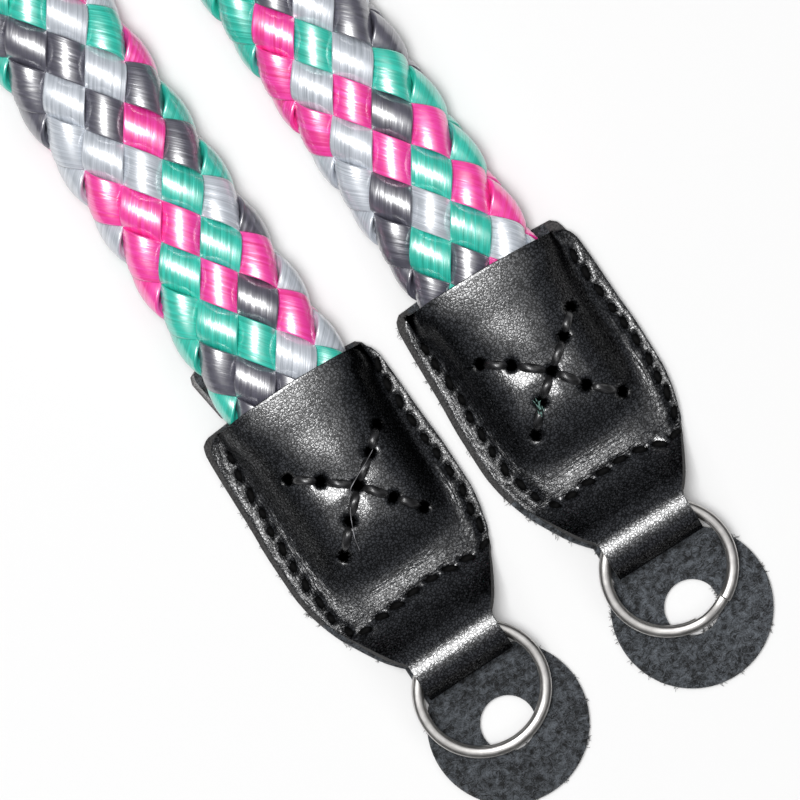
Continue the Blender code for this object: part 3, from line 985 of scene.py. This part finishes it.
STITCH_STEPS = 8
SEAM_FLATNESS = 0.8
STITCH_SINK = 0.35 * MM
SEAM_LIFT = 0.2
UNDER_LIFT = 0.42
CROSS_SINK = 0.75 * MM
CROSS_LIFT = 0.25
CROSS_FLATNESS = 0.65
CROSS_INSET = 0.15
RAY_START = 0.05

FUZZ_SEEDS = {"a": 98, "b": 99}
FUZZ_COUNT = 300
FUZZ_LENGTH = (0.25 * MM, 0.9 * MM)
FUZZ_PARTS = (0.3, 1.0)
FUZZ_MARGIN = 1.0 * MM
FUZZ_AHEAD = 0.1 * MM
FUZZ_TURN = 0.7
FUZZ_CLIMB = (0.05, 0.35)
FUZZ_BEND = 1.0
FUZZ_WIDTH = 0.06 * MM
FUZZ_HEIGHTS = (0.1 * MM, 1.15 * MM)
FUZZ_FLOOR = 0.05 * MM
FUZZ_STOP = 56.0 * MM
FUZZ_STEPS = 4
FUZZ_TUFT = 5
FUZZ_SPREAD = 0.2 * MM
HOLE_FUZZ = {"a": 10, "b": 110}
HOLE_FUZZ_TURNS = (0.6, -2.0)

# The loose threads and the tuft on the crosses: side and station of points along them, in mm.
LOOSE_THREADS = {
    "a": (
        ((5.46, 43.2), (3.4, 42.1), (1.43, 41.2), (-0.2, 40.3), (-1.0, 39.3)),
        ((-1.1, 38.9), (-2.2, 37.3), (-2.95, 35.7), (-3.6, 34.1), (-4.0, 32.2)),
    ),
    "b": (),
}
LOOSE_STEPS = 6
LOOSE_LIFT = 0.9 * MM
LOOSE_WIDTH = 0.13 * MM
FLECKS = {"a": (), "b": ((-3.2, 36.2), (-3.4, 35.8), (-3.5, 35.3), (-3.7, 34.8))}
FLECK_SEED = 3
FLECK_FIBRES = 5
FLECK_SCATTER_MM = ((0.0, 0.17), (0.0, 0.2))
FLECK_REACH_MM = ((0.25, 0.2), (0.6, 0.15))
FLECK_LIFTS = (0.5 * MM, 0.85 * MM, 0.6 * MM)
FLECK_WIDTH = 0.15 * MM


def tube_mesh(centres, width, thickness, sides, taper):
    """A flattened tube along points, level from side to side, thinner at its ends by the taper."""
    ahead = np.gradient(centres, axis=0)
    ahead /= np.linalg.norm(ahead, axis=1, keepdims=True)
    side = np.cross(ahead, (0.0, 0.0, 1.0))
    level = np.linalg.norm(side, axis=1, keepdims=True)
    side = np.where(level > 1e-6, side / np.maximum(level, 1e-6), (1.0, 0.0, 0.0))
    up = np.cross(side, ahead)
    last = len(centres) - 1

    def place(part, round_part):
        row = grid_index(part, last)
        turn = 2 * math.pi * round_part
        slim = (1.0 - taper * (2 * part - 1) ** 4)[:, None]
        across = (np.cos(turn) * width / 2)[:, None]
        rise = (np.sin(turn) * thickness / 2)[:, None]
        return centres[row] + (side[row] * across + up[row] * rise) * slim

    size = (path_lengths(centres)[-1] / MM, math.pi * (width + thickness) / 2 / MM)
    return close_mesh(grid_mesh("tube", last, sides, place, size))


def height_finder(surface):
    """A function that gives the height of a grid of points under a flat place."""
    rows, columns = surface.shape[:2]
    corners = np.arange(rows * columns).reshape(rows, columns)
    faces = np.stack((corners[:-1, :-1], corners[:-1, 1:], corners[1:, 1:], corners[1:, :-1]), axis=2)
    tree = BVHTree.FromPolygons(surface.reshape(-1, 3).tolist(), faces.reshape(-1, 4).tolist())

    def find(x, y):
        hit = tree.ray_cast(Vector((x, y, RAY_START)), Vector((0.0, 0.0, -1.0)))[0]
        return hit.z if hit else LEATHER

    return find


def stitch_line(start, stop, find, lift, sink):
    """A stitch's centre line, over the leather between its holes and down into them."""
    line = []
    for part in np.linspace(0.0, 1.0, STITCH_STEPS + 1):
        spot = start + (stop - start) * part
        line.append((*spot, find(*spot) + lift - sink * abs(2 * part - 1) ** 3))
    return line


def seam_lines(end, find, pitch, thread):
    """The stitches of a tab's seam, over the front leather and under the back leather."""
    lines = []
    for start, stop in seam_marks(end, pitch):
        lines.append(stitch_line(start, stop, find, thread * SEAM_LIFT, STITCH_SINK))
        lines.append(stitch_line(start, stop, lambda x, y: thread * UNDER_LIFT, 0.0, -STITCH_SINK))
    return lines


def cross_lines(end, find, thickness):
    """The flat thread of the crossed stitches, which lies from hole to hole."""
    lines = []
    for arm in CROSS[end]:
        holes = np.array(arm) * MM
        for start, stop in zip(holes, holes[1:]):
            inset = (stop - start) * CROSS_INSET
            lines.append(stitch_line(start + inset, stop - inset, find, thickness * CROSS_LIFT, CROSS_SINK))
    return lines


def loose_lines(end, find):
    """Loose threads that lie over a tab's cross."""
    lines = []
    for points in LOOSE_THREADS[end]:
        path = smooth_path(points, LOOSE_STEPS)
        lifts = LOOSE_LIFT * np.sin(np.linspace(0.0, math.pi, len(path))) + LOOSE_WIDTH
        lines.append([(*spot, find(*spot) + lift) for spot, lift in zip(path, lifts)])
    return lines


def fleck_lines(end, find):
    """A tuft of fibres caught in a stitch."""
    chance = random.Random(FLECK_SEED)
    lines = []
    for spot in FLECKS[end] * FLECK_FIBRES:
        start = (spot + np.array([chance.gauss(*spread) for spread in FLECK_SCATTER_MM])) * MM
        reach = np.array([chance.gauss(*spread) for spread in FLECK_REACH_MM]) * MM
        spots = [start + reach * part for part in (0.0, 0.5, 1.0)]
        lines.append([(*spot, find(*spot) + lift) for spot, lift in zip(spots, FLECK_LIFTS)])
    return lines


def fuzz_lines(outline, count, chance):
    """Short fibres that stand out of a cut edge."""
    path = np.array(outline)
    last = path_lengths(path)[-1]
    lines = []
    for index in range(count):
        if index % FUZZ_TUFT == 0:
            middle = chance.uniform(FUZZ_MARGIN, last - FUZZ_MARGIN)
        at = middle + chance.gauss(0.0, FUZZ_SPREAD)
        before, start, after = path_at(path, at + np.array((-1, 0, 1)) * FUZZ_AHEAD)
        if start[1] > FUZZ_STOP:
            continue
        ahead = after - before
        heading = math.atan2(-ahead[0], ahead[1]) + chance.gauss(0.0, FUZZ_TURN)
        step = chance.uniform(*FUZZ_LENGTH) * chance.uniform(*FUZZ_PARTS) / FUZZ_STEPS
        climb = chance.gauss(*FUZZ_CLIMB)
        bend = chance.gauss(0.0, FUZZ_BEND) / FUZZ_STEPS
        spot = Vector((*start, chance.uniform(*FUZZ_HEIGHTS)))
        line = []
        for _ in range(FUZZ_STEPS + 1):
            line.append(tuple(spot))
            spot += Vector((math.cos(heading), math.sin(heading), climb)) * step
            spot.z = max(spot.z, FUZZ_FLOOR)
            heading += bend
        lines.append(line)
    return lines


def add_threads(name, end, lines, shape, finish):
    """Make one piece of tubes along lines in an end's frame, all of a width, thickness, sides and taper."""
    if lines:
        tubes = [tube_mesh(to_world(end, np.array(line)), *shape) for line in lines]
        add_piece(join_meshes(f"{name}_{end}", tubes), [finish])


# ---------------------------------------------------------------- finishes


def both_ways(operation):
    """An operator of a wire and its reflected form."""
    return (
        lambda self, other: self.maths(operation, self, other),
        lambda self, other: self.maths(operation, other, self),
    )


class Wire:
    """A socket in a material. Its operators add Math nodes."""

    __add__, __radd__ = both_ways("ADD")
    __sub__, __rsub__ = both_ways("SUBTRACT")
    __mul__, __rmul__ = both_ways("MULTIPLY")

    def __init__(self, finish, socket):
        self.finish = finish
        self.socket = socket

    def maths(self, operation, *values):
        return self.finish.node("Math", {"operation": operation}, dict(enumerate(values)))

    def __abs__(self):
        return self.maths("ABSOLUTE", self)


class Finish:
    """A material as it is built: one Principled shader, its output and the nodes that feed it."""

    def __init__(self, name, **constants):
        self.material = bpy.data.materials.new(name)
        self.material.use_nodes = True
        self.tree = self.material.node_tree
        self.tree.nodes.clear()
        self.shader = self.tree.nodes.new("ShaderNodeBsdfPrincipled")
        self.output = self.tree.nodes.new("ShaderNodeOutputMaterial")
        self.tree.links.new(self.shader.outputs[0], self.output.inputs["Surface"])
        for socket, value in constants.items():
            self.set(socket.replace("_", " ").title().replace("Ior", "IOR"), value)

    def set(self, socket, value):
        """Give one of the shader's sockets a value or a wire."""
        self.fill(self.shader.inputs[socket], value)

    def fill(self, socket, value):
        if isinstance(value, Wire):
            self.tree.links.new(value.socket, socket)
        else:
            socket.default_value = value

    def node(self, kind, settings, values, out=0):
        """A new node's output, after the node and its sockets get their values."""
        node = self.tree.nodes.new("ShaderNode" + kind)
        for setting, value in settings.items():
            setattr(node, setting, value)
        for socket, value in values.items():
            self.fill(node.inputs[socket], value)
        return Wire(self, node.outputs[out])

    def vector(self, operation, values):
        return self.node("VectorMath", {"operation": operation}, values)

    def place_mm(self):
        """Object coordinates in mm."""
        return self.vector("SCALE", {0: self.node("TexCoord", {}, {}, "Object"), "Scale": 1 / MM})

    def surface_mm(self):
        """The two distances of the UV map "surface", in mm."""
        place = self.node("UVMap", {"uv_map": "surface"}, {})
        return (self.node("SeparateXYZ", {}, {0: place}, axis) for axis in (0, 1))

    def noise(self, place, scale, detail=3.0, roughness=0.55, out=0):
        values = {"Vector": place, "Scale": scale, "Detail": detail, "Roughness": roughness}
        return self.node("TexNoise", {}, values, out)

    def streaks(self, x, y, z=0.0):
        """Noise at a place whose parts have been scaled, so that it comes out as streaks."""
        return self.noise(self.node("CombineXYZ", {}, {0: x, 1: y, 2: z}), 1.0)

    def attribute(self, name):
        return self.node("Attribute", {"attribute_name": name}, {}, "Fac")

    def warped(self, place, scale, detail, reach):
        """A place pushed about by noise."""
        push = self.noise(place, scale, detail, 0.5, "Color")
        return self.vector("MULTIPLY_ADD", {0: push, 1: reach, 2: place})

    def stretched(self, place, scales):
        return self.vector("MULTIPLY", {0: place, 1: scales})

    def ramp(self, value, low, high, start=0.0, stop=1.0):
        """A value moved from one range to another, eased at both ends."""
        values = {"Value": value, "From Min": low, "From Max": high, "To Min": start, "To Max": stop}
        return self.node("MapRange", {"interpolation_type": "SMOOTHSTEP"}, values)

    def mix(self, part, first, second):
        """Let the surface's colour lie between two."""
        kind = {"data_type": "RGBA", "clamp_result": False}
        colours = {0: part, 6: (*first, 1.0), 7: (*second, 1.0)}
        self.set("Base Color", self.node("Mix", kind, colours, 2))

    def bump(self, height, distance):
        """A bump in which a height of 1 stands for the distance."""
        self.set("Normal", self.node("Bump", {}, {"Height": height, "Distance": distance}))

    def paint_shade(self, part):
        """Paint shade on a part of the surface: mix a black, matte shader in there."""
        values = {"Base Color": (0.0, 0.0, 0.0, 1.0), "Roughness": 1.0, "Specular IOR Level": 0.0}
        black = self.node("BsdfPrincipled", {}, values)
        shader = Wire(self, self.shader.outputs[0])
        both = self.node("MixShader", {}, {0: part, 1: shader, 2: black})
        self.fill(self.output.inputs["Surface"], both)


def scaled(colour, size):
    return tuple(part * size for part in colour)


def yarn_finish(name, dark, pale):
    """Satin yarn: fine filaments along it, which spread the light across it."""
    finish = Finish(
        name, roughness=0.3, ior=1.85, specular_ior_level=1.0,
        coat_weight=1.0, coat_roughness=0.27, coat_ior=1.8,
    )
    along, across = finish.surface_mm()
    bundle = finish.streaks(along * 0.055, across * 2.1)
    strand = finish.streaks(along * 0.12, across * 7.0)
    frizz = finish.streaks(along * 0.5, across * 4.0)
    shift = finish.streaks(along * 0.11, across * 6.0, 7.0)
    finish.mix(finish.ramp(bundle * 0.55 + strand * 0.45, 0.3, 0.72), scaled(dark, 0.78), pale)
    finish.set("Roughness", 0.27 + frizz * 0.16)
    tilt = (strand - 0.5) * 0.6 + (bundle - 0.5) * 0.4
    lift = (shift - 0.5) * 0.7
    slope = finish.node("CombineColor", {}, {0: lift * 0.5 + 0.5, 1: tilt * 0.5 + 0.5, 2: 1.0})
    finish.set("Normal", finish.node("NormalMap", {"uv_map": "surface"}, {"Color": slope}))
    return finish.material


def core_shade_finish():
    """The braid's inside, near-black: painted shade in the gaps between the yarns."""
    finish = Finish("braid_core", roughness=0.8)
    # Near-black colours: painted shade where the core shows between the yarns.
    finish.mix(finish.noise(finish.place_mm(), 1.5), (0.012, 0.012, 0.014), (0.03, 0.03, 0.034))
    return finish.material


def leather_finish(settings):
    """Black full grain leather, creased where point attributes say so, with painted shade in its holes,
    grain cracks, crease lines and on its steep flanks.
    """
    finish = Finish("leather_grain", roughness=0.3, ior=1.6, specular_ior_level=1.0)
    place = finish.place_mm()
    cells = {"Vector": finish.warped(place, 1.7, 2.0, (0.7, 0.7, 0.7)), "Scale": MM / settings.grain_size}
    edges = finish.node("TexVoronoi", {"feature": "DISTANCE_TO_EDGE"}, cells, "Distance")
    pebbles = finish.ramp(edges, 0.0, 0.26)
    swell = finish.noise(place, 0.6, 1.0)
    fine = finish.noise(place, 3.0, 1.0)
    along, across = finish.surface_mm()
    near_foot = finish.ramp(along, 25.0, 31.0)
    side_crease = finish.streaks(along * 0.5, across * 2.0)
    foot_crease = finish.streaks(along * 2.2, across * 0.7)
    crease = side_crease * (1.0 - near_foot) + foot_crease * near_foot
    lines = finish.ramp(abs(crease - 0.5), 0.0, 0.07, 1.0, 0.0)
    creased = finish.attribute("crease")
    # The "hole" attribute holds painted shade: the holes, the steep flanks, the flange and the far side,
    # given ragged edges.
    hole = finish.attribute("hole")
    ragged_painted_shade = hole + (finish.noise(place, 4.2, 1.0) - 0.5) * hole * (1.0 - hole) * 7.0
    # Painted shade in the grain's cracks and in the lines of the creases.
    grain_crack_shade = (1.0 - pebbles) * 0.66
    crack_and_crease_shade = grain_crack_shade + lines * creased * 0.8 * (1.0 - grain_crack_shade)
    finish.mix(pebbles * 0.55 + fine * 0.45, scaled(settings.leather, 0.5), scaled(settings.leather, 1.7))
    finish.set("Roughness", 0.19 + fine * 0.12 + creased * 0.1)
    finish.bump(pebbles * 0.3 + swell * 0.7 + fine * 0.15 + crease * creased * 9.0, 0.03 * MM)
    # Black mixed in as painted shade.
    finish.paint_shade(ragged_painted_shade + crack_and_crease_shade * (1.0 - ragged_painted_shade))
    return finish.material


def suede_finish(name, colour):
    """The flesh side of the leather: matted tufts of nap that lie every way."""
    finish = Finish(name, roughness=0.92, specular_ior_level=0.25, sheen_weight=0.35, sheen_roughness=0.5)
    place = finish.place_mm()
    twisted = finish.warped(place, 0.8, 1.0, (2.6, 2.6, 0.0))
    tufts = finish.noise(finish.stretched(twisted, (1.0, 3.2, 1.0)), 1.3)
    nap = finish.noise(finish.stretched(twisted, (3.4, 1.1, 1.0)), 1.7)
    clouds = finish.noise(place, 0.3)
    clumps = finish.noise(place, 0.9, 2.0)
    specks = finish.noise(place, 5.0, 3.0, 0.7)
    shade = clouds * 0.1 + clumps * 0.24 + tufts * 0.24 + nap * 0.2 + specks * 0.22
    finish.mix(finish.ramp(shade, 0.42, 0.64), scaled(colour, 0.12), scaled(colour, 3.9))
    finish.bump(tufts * 0.4 + nap * 0.3 + specks * 0.3, 0.4 * MM)
    return finish.material


def edge_finish(name, colour):
    """The cut edge of the leather: fibrous and paler than its faces."""
    finish = Finish(name, roughness=0.85, specular_ior_level=0.3)
    fibres = finish.noise(finish.place_mm(), 4.0)
    finish.mix(finish.ramp(fibres, 0.3, 0.7), scaled(colour, 0.45), scaled(colour, 1.5))
    finish.bump(fibres, 0.1 * MM)
    return finish.material


def thread_finish(name, colour, roughness, shine):
    """Waxed thread with two plies that wind round it."""
    finish = Finish(name, roughness=roughness, specular_ior_level=shine)
    along, across = finish.surface_mm()
    plies = finish.node("Math", {"operation": "SINE"}, {0: along * 2.4 + across * 3.6})
    fibres = finish.streaks(along * 0.6, across * 4.5)
    finish.mix(finish.ramp(plies * 0.2 + fibres, 0.2, 0.9), scaled(colour, 0.5), scaled(colour, 2.2))
    finish.bump(plies * 0.5 + fibres, 0.07 * MM)
    return finish.material


def steel_finish(colour):
    """Plated steel with fine rub marks round the ring."""
    finish = Finish("ring_steel", metallic=1.0, roughness=0.3)
    along, across = finish.surface_mm()
    marks = finish.streaks(along * 0.25, across * 7.0)
    stains = finish.noise(finish.place_mm(), 0.7)
    finish.mix(finish.ramp(stains, 0.35, 0.75), scaled(colour, 0.82), colour)
    finish.set("Roughness", 0.2 + marks * 0.1 + stains * 0.14)
    finish.bump(marks, 0.012 * MM)
    return finish.material


def floor_finish():
    """Pale paper, lit a little from below."""
    return Finish(
        "floor", roughness=0.95, specular_ior_level=0.0, base_color=(0.7, 0.7, 0.7, 1.0),
        emission_color=(1.0, 1.0, 1.0, 1.0), emission_strength=0.03,
    ).material


# ---------------------------------------------------------------- operators


class StrapBraidOperator(bpy.types.Operator):
    """Plait the twelve yarns, one piece for each colour, over a core painted dark as the shade between them
    """

    bl_idname = "strap.braid"
    bl_label = "Braid"

    def execute(self, context):
        settings = context.scene.strap_braid
        form = BraidForm()
        groups = {}
        for colours, rising in ((RISING_COLOURS, True), (FALLING_COLOURS, False)):
            for index, shade in enumerate(colours):
                groups.setdefault(shade, []).append(yarn_mesh(form, index, rising, settings))
        for shade, meshes in groups.items():
            dark, pale = getattr(settings, shade), getattr(settings, f"{shade}_sheen")
            finish = yarn_finish(f"yarn_{shade}", dark, pale)
            add_piece(join_meshes(f"yarns_{shade}", meshes), [finish], replaced=["braided_rope"])
        add_piece(core_mesh(form), [core_shade_finish()], replaced=["braided_rope"])
        return {"FINISHED"}


RAW_EDGE = 5.0
# The suede of end a is painted darker than that of end b: painted shade.
SUEDE_PAINTED_SHADES = {"a": 0.85, "b": 1.0}
FUZZ_SHAPE = (FUZZ_WIDTH, FUZZ_WIDTH, 3, 0.6)


class StrapLeatherOperator(bpy.types.Operator):
    """Cut and fold the leather of both ends"""

    bl_idname = "strap.leather"
    bl_label = "Leather"

    def execute(self, context):
        settings = context.scene.strap_leather
        pitch = context.scene.strap_stitch.pitch
        grain = leather_finish(settings)
        edge = edge_finish("leather_cut_edge", settings.edge)
        raw = edge_finish("leather_raw_edge", scaled(settings.edge, RAW_EDGE))
        for end in ENDS:
            # Both ends' suede is one colour, painted darker at end a as shade.
            suede = suede_finish(f"suede_{end}", scaled(settings.suede, SUEDE_PAINTED_SHADES[end]))
            front = front_mesh(end, pitch)
            point_outwards(front)
            finishes = [grain, suede, edge]
            add_wall(add_piece(front, finishes, replaced=[f"leather_front_{end}"]))
            finishes = [suede, edge, raw]
            add_piece(back_mesh(end, pitch), finishes, replaced=[f"leather_back_{end}"])
            chance = random.Random(FUZZ_SEEDS[end])
            fibres = fuzz_lines(back_outline(end), FUZZ_COUNT, chance)
            rim = arc(HOLE_RADIUS, *HOLE_FUZZ_TURNS, DISC_STEPS - 1)
            fibres += fuzz_lines(rim, HOLE_FUZZ[end], chance)
            add_threads("nap", end, fibres, FUZZ_SHAPE, edge)
        return {"FINISHED"}


class StrapStitchOperator(bpy.types.Operator):
    """Sew the seams and the crossed stitches of both ends"""

    bl_idname = "strap.stitches"
    bl_label = "Stitches"

    def execute(self, context):
        settings = context.scene.strap_stitch
        thread, flat = settings.seam_thread, settings.cross_thread
        waxed = thread_finish("waxed_thread", settings.thread, 0.32, 0.7)
        # The seam's thread is the same thread painted ten times darker: painted shade where it sits in its
        # grooves.
        shaded_seam_thread = thread_finish("seam_thread", scaled(settings.thread, 0.1), 0.7, 0.08)
        pale = thread_finish("loose_thread", settings.loose, 0.4, 0.5)
        green = thread_finish("teal_fibre", settings.fleck, 0.6, 0.3)
        seam_shape = (thread, thread * SEAM_FLATNESS, 8, 0.45)
        cross_shape = (flat, flat * CROSS_FLATNESS, 10, 0.35)
        loose_shape = (LOOSE_WIDTH, LOOSE_WIDTH, 5, 0.5)
        fleck_shape = (FLECK_WIDTH, FLECK_WIDTH, 5, 0.6)
        for end in ENDS:
            find = height_finder(front_surface(end, settings.pitch)[0])
            seam = seam_lines(end, find, settings.pitch, thread)
            cross = cross_lines(end, find, flat * CROSS_FLATNESS)
            add_threads("seam", end, seam, seam_shape, shaded_seam_thread)
            add_threads("cross", end, cross, cross_shape, waxed)
            add_threads("loose_threads", end, loose_lines(end, find), loose_shape, pale)
            add_threads("fleck", end, fleck_lines(end, find), fleck_shape, green)
        return {"FINISHED"}


class StrapRingOperator(bpy.types.Operator):
    """Wind the two split rings"""

    bl_idname = "strap.rings"
    bl_label = "Rings"

    def execute(self, context):
        settings = context.scene.strap_ring
        steel = steel_finish(settings.steel)
        for end in ENDS:
            mesh = ring_mesh(end, settings)
            add_piece(mesh, [steel], body=f"ring_{end}", replaced=[f"split_ring_{end}"])
        return {"FINISHED"}


FLOOR_HALF = 3.0
# Each softbox: its place from the middle of the picture, its side and its share of the power.
SOFTBOXES = {
    "softbox_overhead": ((-0.14, 0.1, 1.5), 0.5, 1.0),
    "softbox_wide": ((0.0, 0.0, 1.6), 2.2, 0.5),
}
SENSOR_WIDTH_MM = 36.0
PICTURE_CENTRE = (-3.96 * MM, -164.2 * MM)


class StrapStudioOperator(bpy.types.Operator):
    """Lay a pale floor, hang an overhead softbox and set the camera"""

    bl_idname = "strap.studio"
    bl_label = "Studio"

    def execute(self, context):
        settings = context.scene.strap_studio
        work = bmesh.new()
        bmesh.ops.create_grid(work, x_segments=1, y_segments=1, size=FLOOR_HALF)
        mesh = finished(work, "floor")
        mesh.materials.append(floor_finish())
        floor = bpy.data.objects.new("floor", mesh)
        lamps = []
        for name, (place, side, share) in SOFTBOXES.items():
            lamp_data = bpy.data.lights.new(name, "AREA")
            lamp_data.shape = "SQUARE"
            lamp_data.size = side
            lamp_data.energy = settings.softbox * share
            lamp = bpy.data.objects.new(name, lamp_data)
            lamp.location = Vector((*PICTURE_CENTRE, 0.0)) + Vector(place)
            lamp.rotation_euler = (-Vector(place)).to_track_quat("-Z", "Y").to_euler()
            lamps.append(lamp)
        camera_data = bpy.data.cameras.new("camera")
        camera_data.sensor_width = SENSOR_WIDTH_MM
        camera_data.lens = SENSOR_WIDTH_MM * settings.camera_height / settings.frame_width
        camera = bpy.data.objects.new("camera", camera_data)
        camera.location = (*PICTURE_CENTRE, settings.camera_height)
        camera.rotation_euler = (0.0, 0.0, -settings.roll)
        for thing in (floor, *lamps, camera):
            context.scene.collection.objects.link(thing)
        context.scene.camera = camera
        world = bpy.data.worlds.new("surround")
        world.use_nodes = True
        world.node_tree.nodes["Background"].inputs["Strength"].default_value = settings.surround
        world.node_tree.nodes["Background"].inputs["Color"].default_value = (1.0, 1.0, 1.0, 1.0)
        context.scene.world = world
        context.scene.view_settings.view_transform = "Standard"
        return {"FINISHED"}


class StrapPanel(bpy.types.Panel):
    """The strap's settings and the operators that build it"""

    bl_idname = "VIEW3D_PT_strap"
    bl_label = "Camera neck strap"
    bl_space_type = "VIEW_3D"
    bl_region_type = "UI"
    bl_category = "Neck strap"

    def draw(self, context):
        for name, settings, operator in SECTIONS:
            box = self.layout.box()
            group = getattr(context.scene, name)
            for setting in settings.__annotations__:
                box.prop(group, setting)
            box.operator(operator.bl_idname)


SECTIONS = (
    ("strap_braid", StrapBraidSettings, StrapBraidOperator),
    ("strap_leather", StrapLeatherSettings, StrapLeatherOperator),
    ("strap_stitch", StrapStitchSettings, StrapStitchOperator),
    ("strap_ring", StrapRingSettings, StrapRingOperator),
    ("strap_studio", StrapStudioSettings, StrapStudioOperator),
)


def register():
    for name, settings, operator in SECTIONS:
        bpy.utils.register_class(settings)
        bpy.utils.register_class(operator)
        setattr(bpy.types.Scene, name, bpy.props.PointerProperty(type=settings))
    bpy.utils.register_class(StrapPanel)


def unregister():
    bpy.utils.unregister_class(StrapPanel)
    for name, settings, operator in reversed(SECTIONS):
        delattr(bpy.types.Scene, name)
        bpy.utils.unregister_class(operator)
        bpy.utils.unregister_class(settings)


def main():
    register()
    bpy.ops.strap.braid()
    bpy.ops.strap.leather()
    bpy.ops.strap.stitches()
    bpy.ops.strap.rings()
    bpy.ops.strap.studio()


if __name__ == "__main__":
    main()
